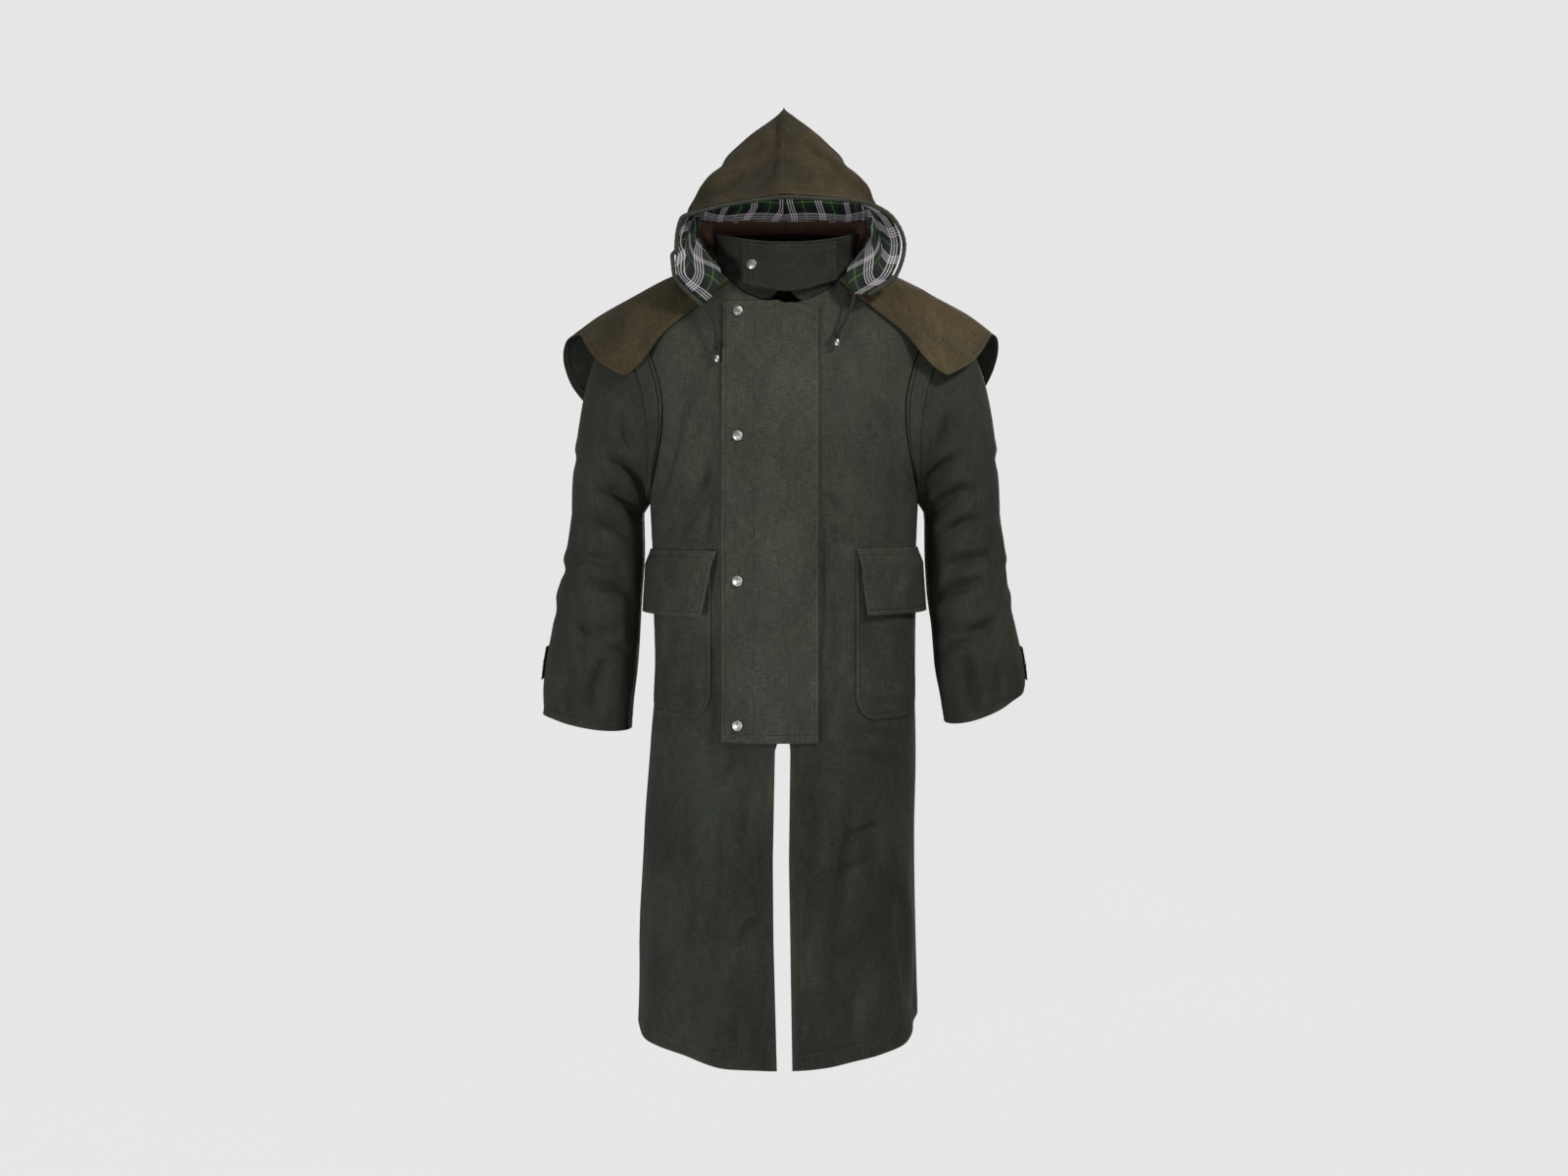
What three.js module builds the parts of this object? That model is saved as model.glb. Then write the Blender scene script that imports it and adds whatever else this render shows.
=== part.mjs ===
// A full-length waxed riding coat, filled out as if worn: two fronts and two backs with a centre vent,
// set-in sleeves, a stand collar with a throat tab, a shoulder cape, a pointed lined hood, a storm flap with
// press studs, and bellows pockets with flaps. Millimetres, +Z up, the front faces -Y, +X is the wearer's left.
// The origin is on the centre plane at the neck point of the shoulders, where the wearer carries the coat.

import * as THREE from "three";

const DEG = Math.PI / 180;

// Cloth
const CLOTH = 2.0; // waxed cotton with its turnings
const LINING = 1.4;
const SEAM = 0.3; // room between pieces that are sewn edge to edge
const LAID_ON = 0.7; // room under a piece that lies on a panel, so that facets never touch

// Where the body's rings lie, as a length up the side seam from the hem
const HEM_AT = 0;
const UNDERARM_AT = 792;
const TIP_AT = 1096;
const NECK_AT = 1232;
const SLEEVE_COLUMNS = 24;
const ARMHOLE_SPREAD = 29 * DEG; // half the armhole's width, as an angle round the body
const SHOULDER_ROUND = 1.8; // how fast a tilted ring falls from the side to the front

// Rings of the body from the hem to the neck: heights at the front, side and back, then half sizes
const BODY_RINGS = [
  { at: 0, front: -1184, side: -1161, back: -1184, half: 218, fore: 186, aft: 184, square: 2.2, shift: -8 },
  { at: 170, front: -996, side: -990, back: -996, half: 213, fore: 178, aft: 176, square: 2.2, shift: -9 },
  { at: 290, front: -872, side: -870, back: -872, half: 208, fore: 171, aft: 168, square: 2.25, shift: -7 },
  { at: 430, front: -730, side: -730, back: -730, half: 203, fore: 162, aft: 158, square: 2.3, shift: -1 },
  { at: 560, front: -600, side: -600, back: -600, half: 197, fore: 153, aft: 146, square: 2.35, shift: 2 },
  { at: 660, front: -500, side: -500, back: -500, half: 199, fore: 149, aft: 140, square: 2.4, shift: 1 },
  { at: 792, front: -368, side: -368, back: -368, half: 203, fore: 145, aft: 135, square: 2.5, shift: 0 },
  { at: 880, front: -290, side: -285, back: -286, half: 211, fore: 138, aft: 132, square: 2.7, shift: 0 },
  { at: 990, front: -212, side: -172, back: -196, half: 222, fore: 128, aft: 129, square: 2.8, shift: 0 },
  { at: 1096, front: -148, side: -66, back: -112, half: 229, fore: 117, aft: 122, square: 2.7, shift: 0 },
  { at: 1160, front: -108, side: -34, back: -52, half: 170, fore: 111, aft: 108, square: 2.4, shift: 0 },
  { at: 1232, front: -78, side: -8, back: 4, half: 105, fore: 106, aft: 88, square: 2.1, shift: 0 },
];

// Soft troughs (depth over 0) and ridges (under 0) of the body cloth. Angles run from the front centre,
// positive to +X; the fold leans from angle to angleTop between at and atTop.
const BODY_FOLDS = [
  { angle: -44, angleTop: -30, at: 0, atTop: 330, width: 9, depth: 7 },
  { angle: -64, angleTop: -50, at: 0, atTop: 420, width: 8, depth: -6 },
  { angle: -24, angleTop: -20, at: 0, atTop: 300, width: 7, depth: -5 },
  { angle: 34, angleTop: 28, at: 0, atTop: 360, width: 9, depth: 6 },
  { angle: 58, angleTop: 46, at: 0, atTop: 300, width: 8, depth: -6 },
  { angle: 80, angleTop: 76, at: 0, atTop: 420, width: 9, depth: 8 },
  { angle: -99, angleTop: -95, at: 0, atTop: 380, width: 8, depth: 7 },
  { angle: 118, angleTop: 112, at: 0, atTop: 520, width: 11, depth: -8 },
  { angle: 148, angleTop: 140, at: 0, atTop: 460, width: 10, depth: 8 },
  { angle: -124, angleTop: -116, at: 0, atTop: 520, width: 11, depth: -8 },
  { angle: -150, angleTop: -142, at: 0, atTop: 440, width: 10, depth: 8 },
  { angle: -52, angleTop: -66, at: 620, atTop: 900, width: 6, depth: 5 },
  { angle: 54, angleTop: 64, at: 650, atTop: 900, width: 6, depth: 4.5 },
  { angle: 132, angleTop: 118, at: 640, atTop: 960, width: 8, depth: 6 },
  { angle: -134, angleTop: -120, at: 620, atTop: 940, width: 8, depth: 6 },
];
const FOLD_EASE = 0.35; // share of a fold's length over which it fades at a free end

// Centre front and centre back edges: x of the wearer's right and left edge at each height
const FRONT_EDGES = [
  { height: -1190, right: -10, left: 12 },
  { height: -1000, right: -15, left: 9 },
  { height: -883, right: -16, left: 7 },
  { height: -724, right: -13, left: 9 },
  { height: -640, right: -1, left: 1 },
  { height: -600, right: -SEAM / 2, left: SEAM / 2 },
  { height: 0, right: -SEAM / 2, left: SEAM / 2 },
];
const BACK_EDGES = [
  { height: -1190, right: -22, left: 20 },
  { height: -1000, right: -22, left: 17 },
  { height: -790, right: -19, left: 15 },
  { height: -735, right: -2, left: 2 },
  { height: -700, right: -SEAM / 2, left: SEAM / 2 },
  { height: 60, right: -SEAM / 2, left: SEAM / 2 },
];

// Sleeves: the edge nearest the body and the outer edge at each height, then depths fore and aft of the middle
const SLEEVES = {
  right: [
    { inner: 213, outer: 321, low: -384, high: -384, middle: -4, fore: 64, aft: 66 },
    { inner: 212, outer: 330, low: -438, high: -438, middle: -6, fore: 66, aft: 66 },
    { inner: 214, outer: 342, low: -498, high: -498, middle: -9, fore: 66, aft: 64 },
    { inner: 218, outer: 353, low: -558, high: -558, middle: -13, fore: 65, aft: 62 },
    { inner: 223, outer: 363, low: -619, high: -616, middle: -17, fore: 64, aft: 60 },
    { inner: 229, outer: 367, low: -672, high: -656, middle: -19, fore: 62, aft: 58 },
    { inner: 232, outer: 367, low: -710, high: -687, middle: -20, fore: 60, aft: 57 },
  ],
  left: [
    { inner: 214, outer: 328, low: -384, high: -384, middle: -4, fore: 64, aft: 66 },
    { inner: 214, outer: 335, low: -438, high: -438, middle: -6, fore: 66, aft: 66 },
    { inner: 216, outer: 342, low: -498, high: -498, middle: -10, fore: 66, aft: 64 },
    { inner: 224, outer: 352, low: -558, high: -556, middle: -15, fore: 65, aft: 62 },
    { inner: 230, outer: 362, low: -616, high: -604, middle: -19, fore: 64, aft: 60 },
    { inner: 239, outer: 366, low: -664, high: -636, middle: -21, fore: 62, aft: 58 },
    { inner: 244, outer: 364, low: -700, high: -652, middle: -22, fore: 60, aft: 57 },
  ],
};
const SLEEVE_SQUARE = 2.15;
const CAP_ROWS = 6;
const CAP_OUT = { right: 315, left: 320 }; // how far out the shoulder cloth reaches before it drops
const CAP_TOP = -122;
const CAP_IN = 206;
const CAP_BOTTOM = -374;
const CAP_FULLNESS = 10; // how far the sleeve head stands proud of the armhole, fore and aft

// Sleeve folds: angle round the sleeve from its outer edge towards the front, and heights
const SLEEVE_FOLDS = [
  { angle: 120, angleTop: 40, low: -470, top: -300, width: 16, depth: 7 },
  { angle: 150, angleTop: 70, low: -560, top: -400, width: 15, depth: 5 },
  { angle: 40, angleTop: 95, low: -700, top: -520, width: 18, depth: 4.5 },
  { angle: -130, angleTop: -60, low: -520, top: -330, width: 17, depth: 6 },
  { angle: -50, angleTop: -100, low: -690, top: -520, width: 18, depth: 5 },
];

// Armhole strip, on the sleeve side of the seam, as shares of the sleeve head
const STRIP_START = 0.03;
const STRIP_END = 0.13;
const STRIP_THICK = 1.4;
const STRIP_REACH = 0.41; // how far round the armhole it runs each way from the shoulder, as a share of a turn

// Cape: the body's own rings moved out over the shoulder, then rings that hang past the armholes to the hem
const CAPE_RINGS = [
  { at: 0, front: -75, side: -3, back: 9, half: 109, fore: 110, aft: 92.5, square: 2.1, shift: 0 },
  { at: 1, front: -105, side: -29, back: -47, half: 174, fore: 115.5, aft: 113, square: 2.4, shift: 0 },
  { at: 2, front: -145, side: -60, back: -106, half: 234, fore: 122, aft: 128, square: 2.7, shift: 0 },
  { at: 3, front: -246, side: -84, back: -196, half: 276, fore: 136, aft: 146, square: 2.9, shift: 2 },
  { at: 4, front: -300, side: -114, back: -290, half: 314, fore: 150, aft: 158, square: 3.2, shift: 3 },
];
const CAPE_BACK_FLARE = { left: 24, right: 48 }; // how far the back corners stand out past the shoulder tips
// Cape front: share from the front edge to the shoulder seam, with the angle and ring reached at neck and hem
const CAPE_FRONT_HEM = [
  { share: 0, neckAngle: 47, hemAngle: 67, ring: 3.1 },
  { share: 0.4, neckAngle: 62, hemAngle: 75, ring: 3.5 },
  { share: 1, neckAngle: 90, hemAngle: 90, ring: 4 },
];
const CAPE_BACK_HEM = [
  { angle: 90, ring: 4 },
  { angle: 108, ring: 4.0 },
  { angle: 128, ring: 3.9 },
  { angle: 155, ring: 3.8 },
  { angle: 180, ring: 3.85 },
];

// Collar: rings from inside the neckline to the free top edge
const COLLAR_RINGS = [
  { at: 0, front: -80, side: -14, back: -2, half: 103.2, fore: 102.4, aft: 84.9, square: 2.1, shift: 0 },
  { at: 1, front: -30, side: 10, back: 24, half: 105, fore: 99, aft: 83, square: 2.1, shift: 1 },
  { at: 2, front: 11, side: 36, back: 50, half: 111, fore: 97, aft: 82, square: 2.1, shift: 4 },
];
const COLLAR_RISE = 26; // how far the collar's foot lifts at the centre front, which leaves a dark gap
const COLLAR_RISE_HALF = 10 * DEG;
const COLLAR_COLUMNS = [0, 0.012, 0.024, 0.038, 0.055, 0.085, 0.125, 0.17, 0.22, 0.28, 0.34, 0.4, 0.46, 0.5];
const COLLAR_OVERLAP_FROM = -1.5 * DEG;

// Throat tab
const TAB_STAND = 7; // how far its lower edge stands off the collar
const TAB_SLANT = 10; // how far its lower corner lies in from its upper one
const TAB_LEFT = -61;
const TAB_RIGHT = 76;
const TAB_TOP = 1.86; // ring of the collar
const TAB_DEPTH_LEFT = -49;
const TAB_DEPTH_MIDDLE = -62;
const TAB_DEPTH_RIGHT = -42;

// Storm flap
const FLAP_ROOM = 2.6; // room under the flap
const FLAP_LEFT = -89;
const FLAP_RIGHT = 49;
const FLAP_TOP = -76;
const FLAP_TOP_RIGHT = -84;
const FLAP_BOTTOM = -712;

// Press studs, as x and height on the flap, and their size
const STUD_X = -66;
const STUD_HEIGHTS = [-91, -271, -479, -687];
const STUD_RADIUS = 7.5;
const STUD_RISE = 3.2;
const COLLAR_STUD = { along: 0.11, up: 0.5 }; // as shares of the throat tab

// Bellows pockets, as heights and the x of the inner edge, with the angle that the outer edge wraps to
const POCKETS = {
  right: { inner: -106, outerAngle: -80, top: -446, bottom: -680 },
  left: { inner: 104, outerAngle: 78, top: -444, bottom: -682 },
};
const POCKET_CORNER = 38;
const POCKET_FULL = 5; // how far the bag stands out at its middle
const FLAPS = {
  right: { top: -436, bottom: -531, innerTop: -96, innerBottom: -110, outerAngle: -82, lift: 6, corner: 3 },
  left: { top: -433, bottom: -529, innerTop: 104, innerBottom: 111, outerAngle: 80, lift: 6, corner: 2 },
};

// Hood: arches from the face edge to the back seam, each from the neck edge up to the top seam. These are the
// wearer's left side; the right side is narrower and has a face edge of its own.
const HOOD_ARCHES = [
  {
    share: 0,
    x: [116, 156, 171, 155, 104, 0],
    y: [-110, -95, -76, -74, -76, -82],
    z: [-68, -38, 9, 50, 76, 83],
  },
  {
    share: 0.05,
    x: [100, 142, 159, 147, 100, 0],
    y: [-108, -96, -71, -66, -67, -72],
    z: [-67, -35, 9, 51, 81, 94],
  },
  {
    share: 0.12,
    x: [90, 128, 148, 140, 96, 0],
    y: [-106, -96, -66, -58, -58, -62],
    z: [-42, -30, 10, 52, 86, 104],
  },
  {
    share: 0.35,
    x: [112, 136, 138, 116, 66, 0],
    y: [-30, -18, -12, -10, -10, -10],
    z: [-6, 36, 80, 114, 139, 153],
  },
  {
    share: 0.65,
    x: [100, 128, 129, 111, 64, 0],
    y: [48, 52, 54, 56, 56, 56],
    z: [2.3, 48, 98, 132, 178, 215],
  },
  {
    share: 0.85,
    x: [54, 92, 105, 90, 50, 0],
    y: [82.5, 96, 98, 96, 92, 88],
    z: [7.6, 60, 112, 154, 204, 243],
  },
  {
    share: 1,
    x: [0, 0, 0, 0, 0, 0],
    y: [95.5, 126, 138, 138, 126, 104],
    z: [9.6, 64, 112, 160, 208, 252],
  },
];
const RIGHT_FACE_EDGE = {
  share: 0,
  x: [114, 155, 159, 149, 86, 0],
  y: [-108, -90, -76, -74, -76, -82],
  z: [-79, -33, 8, 50, 71, 83],
};
const HOOD_RIGHT_SHARE = 1.01;
const HOOD_COLUMNS = [0, 0.06, 0.12, 0.22, 0.35, 0.5, 0.65, 0.76, 0.87, 1];
const HOOD_ROWS = 10;
const LINING_ROOM = 0.6; // room between the hood and its lining
const CHANNEL_RADIUS = 2.6;
const CHANNEL_ROOM = 3; // room between the edge's straight stretches and the channel's

// Draw cords: how far along the hood's neck edge each comes out, its way to the knot, and what is below that
const CORD_RADIUS = 2.4;
const CORD_DROP = { right: 2.2, left: 0.4 }; // from the hood's edge to the middle of the cord's slanted end
const CORDS = {
  right: [
    [-108, -115, -90], [-104, -118, -98], [-100.8, -120, -106], [-99, -121, -115], [-98, -121.5, -125],
    [-97, -121.8, -137],
  ],
  left: [
    [98.5, -115.5, -80], [95.5, -118, -88], [92, -119.5, -96], [88, -120.5, -104.5], [83.5, -121.5, -113],
    [79, -122, -121],
  ],
};
const CORD_EXITS = { right: 0.012, left: 0.045 };
const CORD_STEPS = 6;
const KNOT_RADIUS = 5.2;
const TAILS = { right: 7, left: 0.4 }; // how much cord shows between the knot and the metal end
const TIP_PROFILE = [[0, 0], [3, 0], [4, 3], [3.8, 8], [2.2, 10.5], [0, 11]];

// Cuff tabs: angle round the sleeve at each end, and heights
const TAB_ROOM = 1.8; // room under the strap
const CUFF_TAB = { from: 8, to: -96, low: -636, high: -586 };

// Colours, as the photograph shows them
const OLIVE = 0x4a4431;
const DARK_GREEN = 0x383a33;
const PLAID = 0x3d4440;
const STEEL = 0xb9b6b4;
const CORD_BROWN = 0x2a2320;

const outerCloth = new THREE.MeshStandardMaterial({ color: DARK_GREEN, roughness: 0.62, metalness: 0 });
const capeCloth = new THREE.MeshStandardMaterial({ color: OLIVE, roughness: 0.62, metalness: 0 });
const plaidCloth = new THREE.MeshStandardMaterial({ color: PLAID, roughness: 0.9, metalness: 0 });
const studMetal = new THREE.MeshStandardMaterial({ color: STEEL, roughness: 0.3, metalness: 1 });
const cordYarn = new THREE.MeshStandardMaterial({ color: CORD_BROWN, roughness: 0.85, metalness: 0 });

// A smooth curve through a table's column that never overshoots (monotone cubic)
function column(table, key, name) {
  const xs = table.map((row) => row[key]);
  const ys = table.map((row) => row[name]);
  const steps = xs.slice(1).map((x, i) => (ys[i + 1] - ys[i]) / (x - xs[i]));
  const slopes = xs.map((_, i) => {
    if (i === 0) return steps[0];
    if (i === xs.length - 1) return steps[steps.length - 1];
    const [before, after] = [steps[i - 1], steps[i]];
    return before * after <= 0 ? 0 : (2 * before * after) / (before + after);
  });
  return (x) => {
    let i = 0;
    while (i < xs.length - 2 && x > xs[i + 1]) i += 1;
    const span = xs[i + 1] - xs[i];
    const t = (x - xs[i]) / span;
    if (t <= 0) return ys[i] + slopes[i] * (x - xs[i]);
    if (t >= 1) return ys[i + 1] + slopes[i + 1] * (x - xs[i + 1]);
    const s = 1 - t;
    return (
      ys[i] * (1 + 2 * t) * s * s + ys[i + 1] * (3 - 2 * t) * t * t +
      span * t * s * (slopes[i] * s - slopes[i + 1] * t)
    );
  };
}

function linear(table, key, name) {
  return (x) => {
    let i = 0;
    while (i < table.length - 2 && x > table[i + 1][key]) i += 1;
    const t = THREE.MathUtils.clamp((x - table[i][key]) / (table[i + 1][key] - table[i][key]), 0, 1);
    return THREE.MathUtils.lerp(table[i][name], table[i + 1][name], t);
  };
}

// A stack of rounded rings: gives the section at any place along the stack
function stack(rings) {
  const names = ["front", "side", "back", "half", "fore", "aft", "square", "shift"];
  const curves = names.map((name) => column(rings, "at", name));
  return (at) => Object.fromEntries(names.map((name, i) => [name, curves[i](at)]));
}

const bodySection = stack(BODY_RINGS);
const capeSection = stack(CAPE_RINGS);
const collarSection = stack(COLLAR_RINGS);

// A point of a rounded ring at an angle from the front centre: the ring is a superellipse, and its height
// goes from the side's to the front's or back's as the point leaves the side
function ringPoint(section, angle) {
  const forward = Math.cos(angle) >= 0;
  const depth = forward ? section.fore : section.aft;
  const across = Math.abs(Math.sin(angle)) / section.half;
  const along = Math.abs(Math.cos(angle)) / depth;
  const reach = (across ** section.square + along ** section.square) ** (-1 / section.square);
  const away = (reach * Math.abs(Math.cos(angle))) / depth;
  const end = forward ? section.front : section.back;
  return new THREE.Vector3(
    section.shift + reach * Math.sin(angle),
    -reach * Math.cos(angle),
    section.side + (end - section.side) * away ** SHOULDER_ROUND,
  );
}

// How deep the folds are at a place; a fold that starts at the hem is full there and fades at its top
function foldDepth(folds, angle, place, startKey, endKey) {
  let depth = 0;
  for (const fold of folds) {
    const t = (place - fold[startKey]) / (fold[endKey] - fold[startKey]);
    if (t <= -FOLD_EASE || t >= 1) continue;
    const fadeOut = THREE.MathUtils.smoothstep(1 - t, 0, 1);
    const fadeIn = fold[startKey] === HEM_AT ? 1 : THREE.MathUtils.smoothstep(t, -FOLD_EASE, FOLD_EASE);
    const centre = THREE.MathUtils.lerp(fold.angle, fold.angleTop, t) * DEG;
    let off = angle - centre;
    off = Math.atan2(Math.sin(off), Math.cos(off)) / (fold.width * DEG);
    depth += fold.depth * fadeIn * fadeOut * Math.exp(-off * off);
  }
  return depth;
}

// The body's outer surface, with its folds pressed in towards the middle
function bodyPoint(angle, at) {
  const p = ringPoint(bodySection(at), angle);
  const depth = foldDepth(BODY_FOLDS, angle, at, "at", "atTop");
  const inward = new THREE.Vector3(-Math.sin(angle), Math.cos(angle), 0);
  return p.addScaledVector(inward, depth);
}

// The angle at which a ring of the body reaches x, on the front or on the back
function angleAtX(section, x, onFront) {
  const depth = onFront ? section.fore : section.aft;
  const share = Math.min(1, Math.abs(x - section.shift) / section.half);
  const y = depth * (1 - share ** section.square) ** (1 / section.square);
  const angle = Math.atan2(Math.abs(x - section.shift), y) * Math.sign(x - section.shift);
  return onFront ? angle : Math.PI - angle;
}

// The place along the stack where the front centre is at a height
function placeAtHeight(height, section = bodySection, from = HEM_AT, to = NECK_AT, name = "front") {
  let [low, high] = [from, to];
  for (let i = 0; i < 40; i += 1) {
    const middle = (low + high) / 2;
    if (section(middle)[name] < height) low = middle;
    else high = middle;
  }
  return (low + high) / 2;
}

function normalOf(surface, u, v, side) {
  const step = 1e-3;
  const [u0, u1] = [Math.max(0, u - step), Math.min(1, u + step)];
  const [v0, v1] = [Math.max(0, v - step), Math.min(1, v + step)];
  const across = surface(u1, v).sub(surface(u0, v));
  const up = surface(u, v1).sub(surface(u, v0));
  return across.cross(up).normalize().multiplyScalar(side);
}

function closedMesh(name, points, faces, material) {
  const geometry = new THREE.BufferGeometry();
  geometry.setAttribute("position", new THREE.Float32BufferAttribute(points.flatMap((p) => p.toArray()), 3));
  geometry.setIndex(faces);
  geometry.computeVertexNormals();
  const mesh = new THREE.Mesh(geometry, material);
  mesh.name = name;
  return mesh;
}

// A wall of cloth on a surface: an outer skin, an inner skin and the edges between them. us and vs are the
// places of its columns and rows; side is 1 where u cross v points out of the cloth, and -1 where it points in.
function wall(name, surface, us, vs, side, material, { out = 0, thick = CLOTH, round = false, hold } = {}) {
  const [nu, nv] = [us.length, vs.length];
  const points = [];
  for (const offset of [out, out - thick]) {
    for (const v of vs) {
      for (const u of us) {
        const normal = normalOf(surface, u, v, side);
        const point = surface(u, v).addScaledVector(normal, offset);
        points.push(hold ? hold(point, offset) : point);
      }
    }
  }
  const faces = [];
  const at = (skin, i, j) => skin * nu * nv + j * nu + (i % nu);
  const quad = (a, b, c, d) => (side > 0 ? faces.push(a, b, c, a, c, d) : faces.push(a, c, b, a, d, c));
  const columns = round ? nu : nu - 1;
  for (let j = 0; j < nv - 1; j += 1) {
    for (let i = 0; i < columns; i += 1) {
      quad(at(0, i, j), at(0, i + 1, j), at(0, i + 1, j + 1), at(0, i, j + 1));
      quad(at(1, i, j), at(1, i, j + 1), at(1, i + 1, j + 1), at(1, i + 1, j));
    }
  }
  for (let i = 0; i < columns; i += 1) {
    quad(at(0, i, 0), at(1, i, 0), at(1, i + 1, 0), at(0, i + 1, 0));
    quad(at(0, i, nv - 1), at(0, i + 1, nv - 1), at(1, i + 1, nv - 1), at(1, i, nv - 1));
  }
  if (!round) {
    for (let j = 0; j < nv - 1; j += 1) {
      quad(at(0, 0, j), at(0, 0, j + 1), at(1, 0, j + 1), at(1, 0, j));
      quad(at(0, nu - 1, j), at(1, nu - 1, j), at(1, nu - 1, j + 1), at(0, nu - 1, j + 1));
    }
  }
  return closedMesh(name, points, faces, material);
}

const evenly = (count) => Array.from({ length: count + 1 }, (_, i) => i / count);
const roundly = (count) => Array.from({ length: count }, (_, i) => i / count);

// The armhole is an ellipse on the unrolled body: place and spread at a turn from its top
const armholePlace = (turn) => TIP_AT + ((UNDERARM_AT - TIP_AT) * (1 - Math.cos(turn))) / 2;
function armholeSpread(at) {
  if (at <= UNDERARM_AT || at >= TIP_AT) return 0;
  const cosine = 1 - (2 * (at - TIP_AT)) / (UNDERARM_AT - TIP_AT);
  return ARMHOLE_SPREAD * Math.sqrt(Math.max(0, 1 - cosine * cosine));
}

// Rows of the body panels: even below the underarm, the sleeve's own columns beside the armhole, then the shoulder
function panelRows() {
  const skirt = evenly(12).slice(0, -1).map((t) => UNDERARM_AT * t ** 0.97);
  const beside = evenly(SLEEVE_COLUMNS / 2).map((t) => armholePlace(Math.PI * (1 - t)));
  const shoulder = evenly(4).slice(1).map((t) => TIP_AT + (NECK_AT - TIP_AT) * t);
  return [...skirt, ...beside, ...shoulder];
}

// One quarter of the body: from a centre edge to the side seam, the armhole and the shoulder seam
function bodyPanel(name, hand, onFront) {
  const edges = onFront ? FRONT_EDGES : BACK_EDGES;
  const edgeX = linear(edges, "height", hand > 0 ? "left" : "right");
  const heightName = onFront ? "front" : "back";
  const surface = (u, v) => {
    const at = v * NECK_AT;
    const section = bodySection(at);
    const inner = angleAtX(section, edgeX(section[heightName]), onFront);
    const spread = armholeSpread(at);
    const seamRoom = SEAM / 2 / section.half;
    const away = hand * (Math.PI / 2 + (onFront ? -1 : 1) * (spread + seamRoom));
    const innerAngle = onFront || hand > 0 ? inner : inner - 2 * Math.PI;
    return bodyPoint(THREE.MathUtils.lerp(innerAngle, away, u), at);
  };
  const rows = panelRows().map((at) => at / NECK_AT);
  const side = hand * (onFront ? 1 : -1);
  return wall(name, surface, evenly(9), rows, side, outerCloth);
}

// A sleeve: the head runs from the armhole in a bow to a level ring, and the arm goes on down through rings.
// u is the turn from the shoulder by the front to the underarm and the back; v is the way down.
function sleeveSurface(hand) {
  const table = SLEEVES[hand > 0 ? "left" : "right"].map((row, i) => ({ ...row, at: i }));
  const curve = Object.fromEntries(
    ["inner", "outer", "low", "high", "middle", "fore", "aft"].map((name) => [name, column(table, "at", name)]),
  );
  const armPoint = (turn, at) => {
    const half = (curve.outer(at) - curve.inner(at)) / 2;
    const forward = Math.sin(turn) >= 0;
    const depth = forward ? curve.fore(at) : curve.aft(at);
    const across = Math.abs(Math.cos(turn)) / half;
    const along = Math.abs(Math.sin(turn)) / depth;
    const reach = (across ** SLEEVE_SQUARE + along ** SLEEVE_SQUARE) ** (-1 / SLEEVE_SQUARE);
    const outerness = (1 + Math.cos(turn)) / 2;
    const height = THREE.MathUtils.lerp(curve.low(at), curve.high(at), outerness ** 1.5);
    const p = new THREE.Vector3(
      hand * (curve.inner(at) + half + reach * Math.cos(turn)),
      curve.middle(at) - reach * Math.sin(turn),
      height,
    );
    return pressed(p, turn, height);
  };
  const pressed = (p, turn, height) => {
    const depth = foldDepth(SLEEVE_FOLDS, turn, height, "low", "top");
    return p.add(new THREE.Vector3(-hand * Math.cos(turn) * depth, Math.sin(turn) * depth, 0));
  };
  const headPoint = (turn, t) => {
    const at = armholePlace(turn);
    const forward = Math.sin(turn) >= 0 ? -1 : 1;
    const spread = Math.max(0, armholeSpread(at) - SEAM / 100) * forward;
    const from = bodyPoint(hand * (Math.PI / 2 + spread), at);
    const shrink = new THREE.Vector3(0, from.y > 0 ? -SEAM : SEAM, at > 1000 ? -SEAM * 2 : SEAM * 2);
    from.add(new THREE.Vector3(hand * 2 * SEAM, 0, 0)).add(shrink.multiplyScalar(0.8));
    const to = armPoint(turn, 0);
    const outerness = (1 + Math.cos(turn)) / 2;
    const bow = new THREE.Vector3(
      hand * THREE.MathUtils.lerp(CAP_IN, CAP_OUT[hand > 0 ? "left" : "right"], outerness ** 0.8),
      from.y * 0.3 + to.y * 0.7 - CAP_FULLNESS * Math.sin(turn),
      THREE.MathUtils.lerp(CAP_BOTTOM, CAP_TOP, outerness),
    );
    const s = 1 - t;
    return from.multiplyScalar(s * s).addScaledVector(bow, 2 * s * t).addScaledVector(to, t * t);
  };
  const lastRing = table.length - 1;
  return (u, v) => {
    const turn = u * 2 * Math.PI;
    return v < 0.5 ? headPoint(turn, v * 2) : armPoint(turn, (v * 2 - 1) * lastRing);
  };
}

function sleeveParts(hand) {
  const word = hand > 0 ? "left" : "right";
  const surface = sleeveSurface(hand);
  const head = evenly(CAP_ROWS).map((t) => t / 2);
  const arm = evenly(11).slice(1).map((t) => 0.5 + t / 2);
  const turns = roundly(SLEEVE_COLUMNS);
  const sleeve = wall(`sleeve_${word}`, surface, turns, [...head, ...arm], hand, outerCloth, { round: true });
  const along = (u, v) => surface(THREE.MathUtils.lerp(-STRIP_REACH, STRIP_REACH, u), v);
  const shares = evenly(20);
  const across = [STRIP_START / 2, STRIP_END / 2];
  const strip = wall(`armhole_strip_${word}`, along, shares, across, hand, outerCloth, {
    out: 2 * LAID_ON + STRIP_THICK,
    thick: STRIP_THICK,
  });
  return [sleeve, strip, ...cuffTab(hand, surface, word)];
}

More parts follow.
